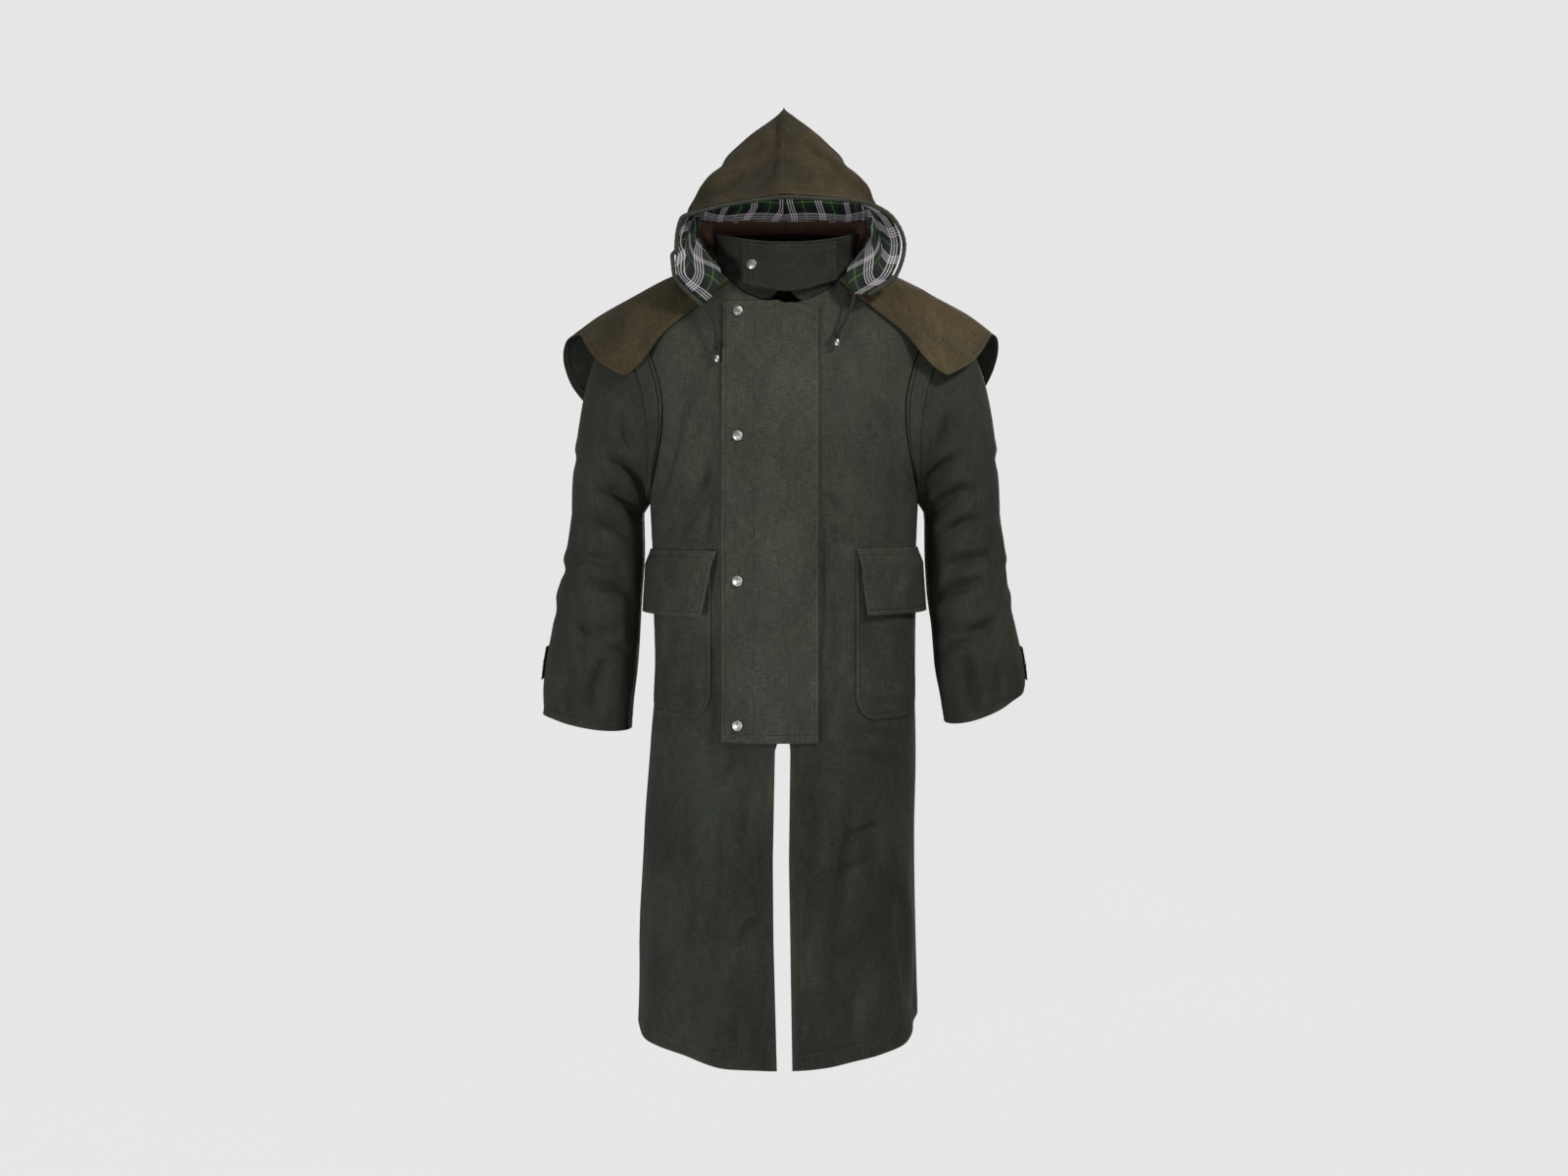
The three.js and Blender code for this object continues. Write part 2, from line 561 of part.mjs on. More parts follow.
// A strap on the back of the cuff, with its stud
function cuffTab(hand, sleeve, word) {
  const v = (height) => {
    let [low, high] = [0.5, 1];
    for (let i = 0; i < 30; i += 1) {
      const middle = (low + high) / 2;
      if (sleeve(0, middle).z > height) low = middle;
      else high = middle;
    }
    return (low + high) / 2;
  };
  const [top, bottom] = [v(CUFF_TAB.high), v(CUFF_TAB.low)];
  const surface = (a, b) => {
    const turn = THREE.MathUtils.lerp(CUFF_TAB.from, CUFF_TAB.to, a) / 360;
    return sleeve((turn + 1) % 1, THREE.MathUtils.lerp(top, bottom, b));
  };
  const tab = wall(`cuff_tab_${word}`, surface, evenly(7), evenly(2), -hand, outerCloth, {
    out: TAB_ROOM + CLOTH,
    thick: CLOTH,
  });
  const facing = normalOf(surface, 0.16, 0.5, -hand);
  const place = surface(0.16, 0.5).addScaledVector(facing, TAB_ROOM + CLOTH + SEAM);
  return [tab, stud(`cuff_stud_${word}`, place, facing)];
}

// A press stud's domed cap, facing along a direction
function stud(name, place, direction) {
  const profile = [
    [0, 0], [STUD_RADIUS * 0.94, 0], [STUD_RADIUS, STUD_RISE * 0.3], [STUD_RADIUS * 0.86, STUD_RISE * 0.72],
    [STUD_RADIUS * 0.5, STUD_RISE * 0.95], [0, STUD_RISE],
  ].map(([x, y]) => new THREE.Vector2(x, y));
  const mesh = new THREE.Mesh(new THREE.LatheGeometry(profile, 10), studMetal);
  mesh.name = name;
  mesh.position.copy(place);
  mesh.quaternion.setFromUnitVectors(new THREE.Vector3(0, 1, 0), direction);
  return mesh;
}

// A point of the front at an x and height
function frontPoint(x, height) {
  let [low, high] = [HEM_AT, NECK_AT];
  const at = (place) => bodyPoint(angleAtX(bodySection(place), x, true), place);
  for (let i = 0; i < 36; i += 1) {
    const middle = (low + high) / 2;
    if (at(middle).z < height) low = middle;
    else high = middle;
  }
  return at((low + high) / 2);
}

function stormFlap() {
  const surface = (u, v) => {
    const x = THREE.MathUtils.lerp(FLAP_LEFT, FLAP_RIGHT, u);
    const top = THREE.MathUtils.lerp(FLAP_TOP, FLAP_TOP_RIGHT, THREE.MathUtils.smoothstep(u, 0.6, 1));
    return frontPoint(x, THREE.MathUtils.lerp(FLAP_BOTTOM, top, v));
  };
  const flap = wall("storm_flap", surface, evenly(7), evenly(16), 1, outerCloth, { out: FLAP_ROOM + CLOTH });
  const studs = STUD_HEIGHTS.map((height, i) => {
    const u = (STUD_X - FLAP_LEFT) / (FLAP_RIGHT - FLAP_LEFT);
    const v = (height - FLAP_BOTTOM) / (FLAP_TOP - FLAP_BOTTOM);
    const normal = normalOf(surface, u, v, 1);
    const place = surface(u, v).addScaledVector(normal, FLAP_ROOM + CLOTH + SEAM);
    return stud(`flap_stud_${i + 1}`, place, normal);
  });
  return [flap, ...studs];
}

// A pocket bag, rounded at its lower corners and fullest at its middle
function pocket(word) {
  const { inner, outerAngle, top, bottom } = POCKETS[word];
  const hand = Math.sign(inner);
  const rise = top - bottom;
  const surface = (u, v) => {
    const height = bottom + rise * v;
    const at = placeAtHeight(height);
    const section = bodySection(at);
    const from = angleAtX(section, inner, true);
    const to = outerAngle * DEG;
    const above = Math.min(POCKET_CORNER, height - bottom);
    const cut = POCKET_CORNER - Math.sqrt(POCKET_CORNER ** 2 - (POCKET_CORNER - above) ** 2);
    const cutAngle = (hand * cut) / section.half;
    const angle = THREE.MathUtils.lerp(from + cutAngle, to - cutAngle, u);
    const p = bodyPoint(angle, at);
    const full = POCKET_FULL * Math.sin(Math.PI * u) * Math.sin(Math.PI * Math.min(1, v * 1.15)) ** 0.7;
    return p.add(new THREE.Vector3(Math.sin(angle), -Math.cos(angle), 0).multiplyScalar(Math.max(0, full)));
  };
  const rows = [0, 0.012, 0.04, 0.09, 0.16, 0.3, 0.5, 0.75, 1];
  return wall(`pocket_${word}`, surface, evenly(7), rows, hand, outerCloth, { out: LAID_ON + CLOTH });
}

// A pocket's flap, hinged along its top and standing off the bag towards its lower edge
function pocketFlap(word) {
  const { top, bottom, innerTop, innerBottom, outerAngle, lift, corner } = FLAPS[word];
  const hand = Math.sign(innerTop);
  const surface = (u, v) => {
    const height = THREE.MathUtils.lerp(bottom, top, v);
    const at = placeAtHeight(height);
    const section = bodySection(at);
    const from = angleAtX(section, THREE.MathUtils.lerp(innerBottom, innerTop, v), true);
    const angle = THREE.MathUtils.lerp(from, outerAngle * DEG, u);
    const p = bodyPoint(angle, at);
    const down = 1 - v;
    const rise = Math.min(1, down * 4) * (LAID_ON + CLOTH + POCKET_FULL);
    const stand = rise + lift * down ** 1.2 + corner * u ** 3 * down;
    return p.add(new THREE.Vector3(Math.sin(angle), -Math.cos(angle), 0).multiplyScalar(stand));
  };
  return wall(`pocket_flap_${word}`, surface, evenly(8), evenly(4), hand, outerCloth, { out: LAID_ON + CLOTH });
}

// The cape's outer surface, with its back corners flared
function capePoint(angle, ring) {
  const p = ringPoint(capeSection(ring), angle);
  const behind = 2.2 * Math.max(0, -Math.cos(angle)) ** 0.6 * Math.abs(Math.sin(angle)) ** 3;
  const side = Math.sign(Math.sin(angle));
  p.x += side * CAPE_BACK_FLARE[side > 0 ? "left" : "right"] * behind * (ring / 4) ** 2;
  return p;
}

function capeFront(hand) {
  const neckAngle = linear(CAPE_FRONT_HEM, "share", "neckAngle");
  const hemAngle = linear(CAPE_FRONT_HEM, "share", "hemAngle");
  const ring = linear(CAPE_FRONT_HEM, "share", "ring");
  const seamRoom = 0.12 * DEG;
  const surface = (u, v) => {
    const angle = THREE.MathUtils.lerp(neckAngle(u), hemAngle(u), v ** 0.9) * DEG - seamRoom;
    return capePoint(hand * angle, v * ring(u));
  };
  const columns = [0, 0.13, 0.27, 0.4, 0.52, 0.64, 0.76, 0.88, 1];
  return wall(`cape_front_${hand > 0 ? "left" : "right"}`, surface, columns, evenly(7), -hand, capeCloth);
}

function capeBack() {
  const ring = linear(CAPE_BACK_HEM, "angle", "ring");
  const seamRoom = 0.12;
  const surface = (u, v) => {
    const degrees = THREE.MathUtils.lerp(90 + seamRoom, 270 - seamRoom, u);
    return capePoint(degrees * DEG, v * ring(Math.min(degrees, 360 - degrees)));
  };
  return wall("cape_back", surface, evenly(20), evenly(7), -1, capeCloth);
}

// The stand collar: open at the centre front, where its foot lifts
function collarPoint(angle, ring) {
  const p = ringPoint(collarSection(ring), angle);
  const off = Math.atan2(Math.sin(angle), Math.cos(angle)) / COLLAR_RISE_HALF;
  p.z += COLLAR_RISE * Math.exp(-off * off) * (1 - ring / 2);
  return p;
}

function collarParts() {
  const half = SEAM / COLLAR_RINGS[0].fore;
  const surface = (u, v) => collarPoint(COLLAR_OVERLAP_FROM + half + u * (2 * Math.PI - 2 * half), v * 2);
  const columns = [...COLLAR_COLUMNS, ...COLLAR_COLUMNS.slice(0, -1).reverse().map((u) => 1 - u)];
  const collar = wall("collar", surface, columns, evenly(2), 1, outerCloth);
  const section = collarSection(TAB_TOP);
  const [from, to] = [TAB_LEFT, TAB_RIGHT].map((x) => angleAtX(section, x, true));
  const depth = column(
    [
      { share: 0, z: TAB_DEPTH_LEFT },
      { share: 0.45, z: TAB_DEPTH_MIDDLE },
      { share: 1, z: TAB_DEPTH_RIGHT },
    ],
    "share",
    "z",
  );
  const tabSurface = (u, v) => {
    const slant = (TAB_SLANT / section.fore) * (1 - u) * (1 - v);
    const angle = THREE.MathUtils.lerp(from, to, u) + slant;
    const top = collarPoint(angle, TAB_TOP);
    const foot = collarPoint(angle, 0);
    const z = THREE.MathUtils.lerp(depth(u), top.z, v);
    const ring = THREE.MathUtils.clamp(((z - foot.z) / (top.z - foot.z)) * TAB_TOP, -0.2, 2);
    const p = collarPoint(angle, ring);
    p.z = z;
    const forward = TAB_STAND * (1 - v) ** 1.5;
    return p.add(new THREE.Vector3(Math.sin(angle), -Math.cos(angle), 0).multiplyScalar(forward));
  };
  const tab = wall("throat_tab", tabSurface, evenly(8), evenly(4), 1, outerCloth, { out: LAID_ON + CLOTH });
  const { along, up } = COLLAR_STUD;
  const normal = normalOf(tabSurface, along, up, 1);
  const place = tabSurface(along, up).addScaledVector(normal, LAID_ON + CLOTH + SEAM);
  return [collar, tab, stud("collar_stud", place, normal)];
}

// Half of the hood: a smooth surface through its arches
function hoodSurface(hand) {
  const table = hand > 0 ? HOOD_ARCHES : [RIGHT_FACE_EDGE, ...HOOD_ARCHES.slice(1)];
  const arches = table.map((arch) => {
    const rows = arch.x.map((x, i) => ({ at: i / (arch.x.length - 1), x, y: arch.y[i], z: arch.z[i] }));
    return { share: arch.share, curves: ["x", "y", "z"].map((name) => column(rows, "at", name)) };
  });
  return (s, t) => {
    const across = arches.map(({ share, curves }) => {
      const [x, y, z] = curves.map((curve) => curve(s));
      return { share, x, y, z };
    });
    const [x, y, z] = ["x", "y", "z"].map((name) => column(across, "share", name)(t));
    const width = hand > 0 ? 1 : THREE.MathUtils.lerp(1, HOOD_RIGHT_SHARE, Math.min(1, t * 4));
    return new THREE.Vector3(hand * (x * width + SEAM / 2), y, z);
  };
}

function hoodParts() {
  const parts = [];
  const edge = [];
  const rows = evenly(HOOD_ROWS);
  for (const hand of [-1, 1]) {
    const word = hand > 0 ? "left" : "right";
    const surface = hoodSurface(hand);
    const hold = (p) => p.setX(hand * Math.max(SEAM / 2, hand * p.x));
    parts.push(wall(`hood_${word}`, surface, rows, HOOD_COLUMNS, -hand, capeCloth, { hold }));
    parts.push(wall(`hood_lining_${word}`, surface, rows, HOOD_COLUMNS, -hand, plaidCloth, {
      out: -CLOTH - LINING_ROOM,
      thick: LINING,
      hold,
    }));
    const points = rows.map((s) => {
      const inward = normalOf(surface, s, 0, -hand).multiplyScalar(-(CLOTH + LINING) / 2);
      const forward = surface(s, 0).sub(surface(s, 0.01)).normalize();
      forward.multiplyScalar(CHANNEL_RADIUS + CHANNEL_ROOM);
      return surface(s, 0).add(inward).add(forward);
    });
    edge.push(...(hand < 0 ? points.slice(0, -1) : points.slice(0, -1).reverse()));
  }
  parts.push(tube("hood_channel", edge, CHANNEL_RADIUS, 6, edge.length - 1, capeCloth));
  return parts;
}

// A round cord or tube along a smooth curve through points
function tube(name, points, radius, sides, steps, material) {
  const section = new THREE.Shape(
    Array.from({ length: sides }, (_, i) => {
      const turn = (i / sides) * 2 * Math.PI;
      return new THREE.Vector2(radius * Math.cos(turn), radius * Math.sin(turn));
    }),
  );
  const path = new THREE.CatmullRomCurve3(points, false, "centripetal");
  const mesh = new THREE.Mesh(new THREE.ExtrudeGeometry(section, { steps, extrudePath: path }), material);
  mesh.name = name;
  return mesh;
}

// A draw cord with its knot, the cord below the knot and the metal end
function cordParts(word) {
  const hand = word === "left" ? 1 : -1;
  const hood = hoodSurface(hand);
  const exit = hood(0, CORD_EXITS[word]);
  exit.addScaledVector(normalOf(hood, 0, CORD_EXITS[word], -hand), -CLOTH / 2);
  exit.z -= CORD_DROP[word];
  const points = [exit, ...CORDS[word].map((p) => new THREE.Vector3(...p))];
  const cord = tube(`cord_${word}`, points, CORD_RADIUS, 8, CORD_STEPS, cordYarn);
  const down = points.at(-1).clone().sub(points.at(-2)).normalize();
  const knot = new THREE.Mesh(new THREE.IcosahedronGeometry(KNOT_RADIUS, 1), cordYarn);
  knot.name = `cord_knot_${word}`;
  knot.position.copy(points.at(-1)).addScaledVector(down, KNOT_RADIUS + SEAM);
  const tailTop = knot.position.clone().add(new THREE.Vector3(0, 0, -KNOT_RADIUS - SEAM));
  const parts = [cord, knot];
  const tail = TAILS[word];
  if (tail > 1) {
    const piece = new THREE.Mesh(new THREE.CylinderGeometry(CORD_RADIUS, CORD_RADIUS, tail, 8), cordYarn);
    piece.name = `cord_tail_${word}`;
    piece.rotation.x = Math.PI / 2;
    piece.position.copy(tailTop).add(new THREE.Vector3(0, 0, -tail / 2));
    parts.push(piece);
  }
  const profile = TIP_PROFILE.map(([x, y]) => new THREE.Vector2(x, y));
  const tip = new THREE.Mesh(new THREE.LatheGeometry(profile, 8), studMetal);
  tip.name = `cord_tip_${word}`;
  tip.rotation.x = -Math.PI / 2;
  tip.position.copy(tailTop).add(new THREE.Vector3(0, 0, -(tail > 1 ? tail + SEAM : 0)));
  return [...parts, tip];
}

const group = new THREE.Group();
for (const hand of [-1, 1]) {
  const word = hand > 0 ? "left" : "right";
  group.add(bodyPanel(`front_${word}`, hand, true));
  group.add(bodyPanel(`back_${word}`, hand, false));
  group.add(...sleeveParts(hand));
  group.add(pocket(word), pocketFlap(word));
  group.add(capeFront(hand));
  group.add(...cordParts(word));
}
group.add(...stormFlap());
group.add(capeBack());
group.add(...collarParts());
group.add(...hoodParts());

export default group;
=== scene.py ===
"""A full-length hooded duster coat of waxed cotton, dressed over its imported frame.

All shapes are worked out in millimetres, in the frame's own axes: +Z is up, the front faces -Y and +X is the
wearer's left. They are turned into metres where a mesh is made.
"""

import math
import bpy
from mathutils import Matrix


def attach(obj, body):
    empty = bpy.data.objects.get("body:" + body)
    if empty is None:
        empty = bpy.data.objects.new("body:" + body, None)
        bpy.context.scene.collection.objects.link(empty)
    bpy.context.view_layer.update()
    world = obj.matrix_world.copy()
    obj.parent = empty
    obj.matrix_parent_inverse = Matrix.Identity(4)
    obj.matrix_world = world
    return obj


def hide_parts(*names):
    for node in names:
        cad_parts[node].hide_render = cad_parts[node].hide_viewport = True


bl_info = {
    "name": "Hooded Duster Coat",
    "version": (1, 0, 0),
    "blender": (4, 5, 0),
    "location": "View3D > Sidebar > Coat",
    "description": "Builds the cloth, stitching and fittings of a full-length hooded duster coat",
    "category": "Add Mesh",
}

import bpy
import numpy as np
from bpy.props import FloatProperty, FloatVectorProperty, PointerProperty
from mathutils import Vector

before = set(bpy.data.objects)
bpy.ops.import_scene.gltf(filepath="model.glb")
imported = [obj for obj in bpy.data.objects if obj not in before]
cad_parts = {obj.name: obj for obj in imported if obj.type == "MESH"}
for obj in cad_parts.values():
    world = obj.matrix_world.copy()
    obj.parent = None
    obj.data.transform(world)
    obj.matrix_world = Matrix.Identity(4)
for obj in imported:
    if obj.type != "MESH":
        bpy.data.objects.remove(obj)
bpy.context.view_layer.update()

MM = 0.001
DEG = math.pi / 180

# Cloth, in millimetres
CLOTH = 2.0
LINING = 1.4
SEAM = 0.3
LAID_ON = 0.7
EDGE_ROUND = 0.28  # how much of its thickness a cut edge loses to its rounding, on each skin
EDGE_WIDTH = 0.8  # how wide that rounding is
SEAM_LINES = (-2.2, -0.9, 0, 0.9, 2.2)  # where a grid has lines beside a row of stitching
GROOVE_DEPTH = 1.5  # depth of the groove of a row of stitching whose share is 1
GROOVE_HALF = 1.2  # half its width
GATHER_WAVE = 12.5  # from one gather beside a row of stitching to the next
GATHER_FADE = 7.0  # how far from the row the gathers die away
WEAR_FADE = 3.0  # how far from a cut edge its wear dies away
STITCH_SUNK = 0.3  # how deep the ends of a stitch go into the cloth
STITCH_LIFT = 0.12  # how far its middle stands off the face
THREAD_FLAT = 0.42  # half the thread's thickness, as a share of its width
ROUND_UV = 0.016  # how much of the texture goes once round a cord or channel, in metres

# Places along the body's stack of rings, measured up the side seam from the hem
UNDERARM_AT = 792.0
TIP_AT = 1096.0
NECK_AT = 1232.0
ARMHOLE_SPREAD = 29 * DEG
SHOULDER_ROUND = 1.8

RING_NAMES = ("front", "side", "back", "half", "fore", "aft", "square", "shift")
BODY_RINGS = np.array([
    (0, -1184, -1161, -1184, 218, 186, 184, 2.2, -8),
    (170, -996, -990, -996, 213, 178, 176, 2.2, -9),
    (290, -872, -870, -872, 208, 171, 168, 2.25, -7),
    (430, -730, -730, -730, 203, 162, 158, 2.3, -1),
    (560, -600, -600, -600, 197, 153, 146, 2.35, 2),
    (660, -500, -500, -500, 199, 149, 140, 2.4, 1),
    (792, -368, -368, -368, 203, 145, 135, 2.5, 0),
    (880, -290, -285, -286, 211, 138, 132, 2.7, 0),
    (990, -212, -172, -196, 222, 128, 129, 2.8, 0),
    (1096, -148, -66, -112, 229, 117, 122, 2.7, 0),
    (1160, -108, -34, -52, 170, 111, 108, 2.4, 0),
    (1232, -78, -8, 4, 105, 106, 88, 2.1, 0),
])
CAPE_RINGS = np.array([
    (0, -75, -3, 9, 109, 110, 92.5, 2.1, 0),
    (1, -105, -29, -47, 174, 115.5, 113, 2.4, 0),
    (2, -145, -60, -106, 234, 122, 128, 2.7, 0),
    (3, -246, -84, -196, 276, 136, 146, 2.9, 2),
    (4, -300, -114, -290, 314, 150, 158, 3.2, 3),
])
COLLAR_RINGS = np.array([
    (0, -80, -14, -2, 103.2, 102.4, 84.9, 2.1, 0),
    (1, -30, 10, 24, 105, 99, 83, 2.1, 1),
    (2, 11, 36, 50, 111, 97, 82, 2.1, 4),
])

# Long folds of the body: angle and place at the low end, angle and place at the top, width in degrees, depth
BODY_FOLDS = (
    (-44, 0, -30, 330, 9, 7), (-64, 0, -50, 420, 8, -6), (-24, 0, -20, 300, 7, -5), (34, 0, 28, 360, 9, 6),
    (58, 0, 46, 300, 8, -6), (80, 0, 76, 420, 9, 8), (-99, 0, -95, 380, 8, 7), (118, 0, 112, 520, 11, -8),
    (148, 0, 140, 460, 10, 8), (-124, 0, -116, 520, 11, -8), (-150, 0, -142, 440, 10, 8),
    (-52, 620, -66, 900, 6, 5), (54, 650, 64, 900, 6, 4.5), (132, 640, 118, 960, 8, 6),
    (-134, 620, -120, 940, 8, 6),
)
SLEEVE_FOLDS = (
    (120, -470, 40, -300, 16, 7), (150, -560, 70, -400, 15, 5), (40, -700, 95, -520, 18, 4.5),
    (-130, -520, -60, -330, 17, 6), (-50, -690, -100, -520, 18, 5),
)
FOLD_EASE = 0.35

# Centre edges of the fronts and backs: height, x of the right panel's edge, x of the left panel's edge
FRONT_EDGES = np.array([
    (-1190, -10, 12), (-1000, -15, 9), (-883, -16, 7), (-724, -13, 9), (-640, -1, 1), (-600, -0.15, 0.15),
    (0, -0.15, 0.15),
])
BACK_EDGES = np.array([
    (-1190, -22, 20), (-1000, -22, 17), (-790, -19, 15), (-735, -2, 2), (-700, -0.15, 0.15), (60, -0.15, 0.15),
])

# Sleeves, from the underarm to the cuff: inner and outer edge, height at the inner and outer edge, middle, depths
SLEEVES = {
    "right": np.array([
        (213, 321, -384, -384, -4, 64, 66), (212, 330, -438, -438, -6, 66, 66), (214, 342, -498, -498, -9, 66, 64),
        (218, 353, -558, -558, -13, 65, 62), (223, 363, -619, -616, -17, 64, 60), (229, 367, -672, -656, -19, 62, 58),
        (232, 367, -710, -687, -20, 60, 57),
    ]),
    "left": np.array([
        (214, 328, -384, -384, -4, 64, 66), (214, 335, -438, -438, -6, 66, 66), (216, 342, -498, -498, -10, 66, 64),
        (224, 352, -558, -556, -15, 65, 62), (230, 362, -616, -604, -19, 64, 60), (239, 366, -664, -636, -21, 62, 58),
        (244, 364, -700, -652, -22, 60, 57),
    ]),
}
SLEEVE_SQUARE = 2.15
SLEEVE_LENGTH = 660
CAP_OUT = {"right": 315, "left": 320}
CAP_TOP = -122
CAP_IN = 206
CAP_BOTTOM = -374
CAP_FULLNESS = 10
STRIP_SHARES = (0.03, 0.13)
STRIP_THICK = 1.4
STRIP_REACH = 0.41

CAPE_BACK_FLARE = {"left": 24, "right": 48}
CAPE_FRONT_HEM = np.array([(0, 47, 67, 3.1), (0.4, 62, 75, 3.5), (1, 90, 90, 4)])
CAPE_BACK_HEM = np.array([(90, 4), (108, 4.0), (128, 3.9), (155, 3.8), (180, 3.85)])

COLLAR_RISE = 26
COLLAR_RISE_HALF = 10 * DEG
COLLAR_OVERLAP_FROM = -1.5 * DEG
TAB = {"left": -61, "right": 76, "top": 1.86, "slant": 10, "stand": 7}
TAB_LOWER_EDGE = ((0, 0.45, 1), (-49, -62, -42))

FLAP_ROOM = 2.6
FLAP = {"left": -89, "right": 49, "top": -76, "top_right": -84, "bottom": -712}
PLACKET_X = -43
STUD_X = -66
STUD_HEIGHTS = (-91, -271, -479, -687)
STUD_RADIUS = 7.5
STUD_RISE = 3.2
COLLAR_STUD = (0.11, 0.5)

POCKETS = {
    "right": {"inner": -106, "outer_angle": -80, "top": -446, "bottom": -680},
    "left": {"inner": 104, "outer_angle": 78, "top": -444, "bottom": -682},
}
POCKET_CORNER = 38
POCKET_FULL = 5
POCKET_FLAPS = {
    "right": {"top": -436, "bottom": -531, "inner_top": -96, "inner_bottom": -110, "outer_angle": -82, "corner": 3},
    "left": {"top": -433, "bottom": -529, "inner_top": 104, "inner_bottom": 111, "outer_angle": 80, "corner": 2},
}
POCKET_FLAP_LIFT = 6

# Hood arches from the face edge to the back seam: share of the way, then x, y and z from the neck up to the top seam
HOOD_SHARES = np.array([0, 0.05, 0.12, 0.35, 0.65, 0.85, 1])
HOOD_ARCHES = np.array([
    [(116, -110, -68), (156, -95, -38), (171, -76, 9), (155, -74, 50), (104, -76, 76), (0, -82, 83)],
    [(100, -108, -67), (142, -96, -35), (159, -71, 9), (147, -66, 51), (100, -67, 81), (0, -72, 94)],
    [(90, -106, -42), (128, -96, -30), (148, -66, 10), (140, -58, 52), (96, -58, 86), (0, -62, 104)],
    [(112, -30, -6), (136, -18, 36), (138, -12, 80), (116, -10, 114), (66, -10, 139), (0, -10, 153)],
    [(100, 48, 2.3), (128, 52, 48), (129, 54, 98), (111, 56, 132), (64, 56, 178), (0, 56, 215)],
    [(54, 82.5, 7.6), (92, 96, 60), (105, 98, 112), (90, 96, 154), (50, 92, 204), (0, 88, 243)],
    [(0, 95.5, 9.6), (0, 126, 64), (0, 138, 112), (0, 138, 160), (0, 126, 208), (0, 104, 252)],
], float)
RIGHT_FACE_EDGE = [(114, -108, -79), (155, -90, -33), (159, -76, 8), (149, -74, 50), (86, -76, 71), (0, -82, 83)]
HOOD_RIGHT_SHARE = 1.01
LINING_ROOM = 0.6
CHANNEL_RADIUS = 2.6
CHANNEL_ROOM = 3

CORD_RADIUS = 2.4
BRAID_PITCH = 4.2  # length of cord in which its yarns come back to where they were
CORD_END = (
    (0, -0.6), (1.9, -0.4), (2.9, 0), (3.1, 1.4), (3.9, 3), (4.05, 4), (3.8, 7.6), (3.2, 9.4), (2.0, 10.5),
    (0.8, 10.9), (0, 11),
)
CORD_DROP = {"right": 2.2, "left": 0.4}
CORDS = {
    "right": [(-108, -115, -90), (-104, -118, -98), (-100.8, -120, -106), (-99, -121, -115), (-98, -121.5, -125),
              (-97, -121.8, -137)],
    "left": [(98.5, -115.5, -80), (95.5, -118, -88), (92, -119.5, -96), (88, -120.5, -104.5), (83.5, -121.5, -113),
             (79, -122, -121)],
}
CORD_EXITS = {"right": 0.012, "left": 0.045}
KNOT_RADIUS = 5.2
TAILS = {"right": 7, "left": 0.4}

CUFF_TAB = {"from": 8, "to": -96, "low": -636, "high": -586}
CUFF_TAB_ROOM = 1.8

# Creases, given in millimetres: x and z of one end, x and z of the other, bow, width, depth
FRONT_CREASES = (
    (-100, -286, -112, -446, 6, 12, 6), (-100, -300, -172, -424, 10, 13, 6.5), (-102, -232, -128, -330, 5, 11, 3.4),
    (-128, -190, -176, -330, -9, 12, 3.2), (-150, -345, -190, -420, 6, 9, 3.5), (-168, -280, -186, -356, 4, 8, 3.4),
    (-102, -560, -96, -700, 3, 7, 2.6), (-84, -660, -116, -716, 4, 8, 3), (-60, -722, -98, -790, 5, 11, 3.4),
    (-118, -720, -134, -905, 7, 15, 4.2), (-84, -760, -104, -950, -8, 14, 3.8), (-46, -738, -56, -880, 4, 12, 3),
    (-150, -860, -166, -1080, 7, 14, 3.6), (-108, -980, -70, -1016, -8, 12, 2.8), (-62, -1010, -18, -962, 7, 10, 2.6),
    (-44, -818, -20, -824, 1, 4, 1.8), (-50, -840, -20, -836, 1, 4, 2), (-42, -858, -21, -862, 1, 4, 1.6),
    (-38, -882, -20, -876, 1, 4, 1.5), (-44, -905, -20, -912, 1, 4.5, 1.4), (-76, -1050, -60, -1176, 4, 15, 3),
    (56, -360, 53, -600, 2, 5, 3.4), (58, -352, 84, -392, 4, 7, 3), (62, -400, 98, -432, -4, 8, 2.2),
    (84, -500, 78, -650, 3, 10, 2.8), (60, -600, 66, -706, 2, 8, 2.2), (110, -210, 176, -330, 12, 13, 3),
    (128, -176, 186, -258, 8, 11, 3.2), (170, -290, 192, -372, 5, 8, 3.4), (118, -700, 168, -716, 4, 8, 2.4),
    (92, -728, 150, -760, 6, 11, 2.8), (38, -740, 58, -900, 6, 14, 3.6), (96, -790, 78, -1000, 8, 16, 4),
    (134, -800, 150, -960, -7, 13, 3.4), (92, -846, 146, -836, -3, 6, 2.2), (74, -905, 128, -884, -4, 7, 1.8),
    (44, -930, 30, -1120, -5, 13, 2.8), (166, -930, 178, -1110, 5, 8, 4), (150, -1010, 160, -1150, 3, 8, 3),
    (112, -1040, 96, -1170, 4, 14, 3), (14, -826, 44, -834, 1, 4, 1.5), (14, -860, 38, -853, 1, 4, 1.4),
)
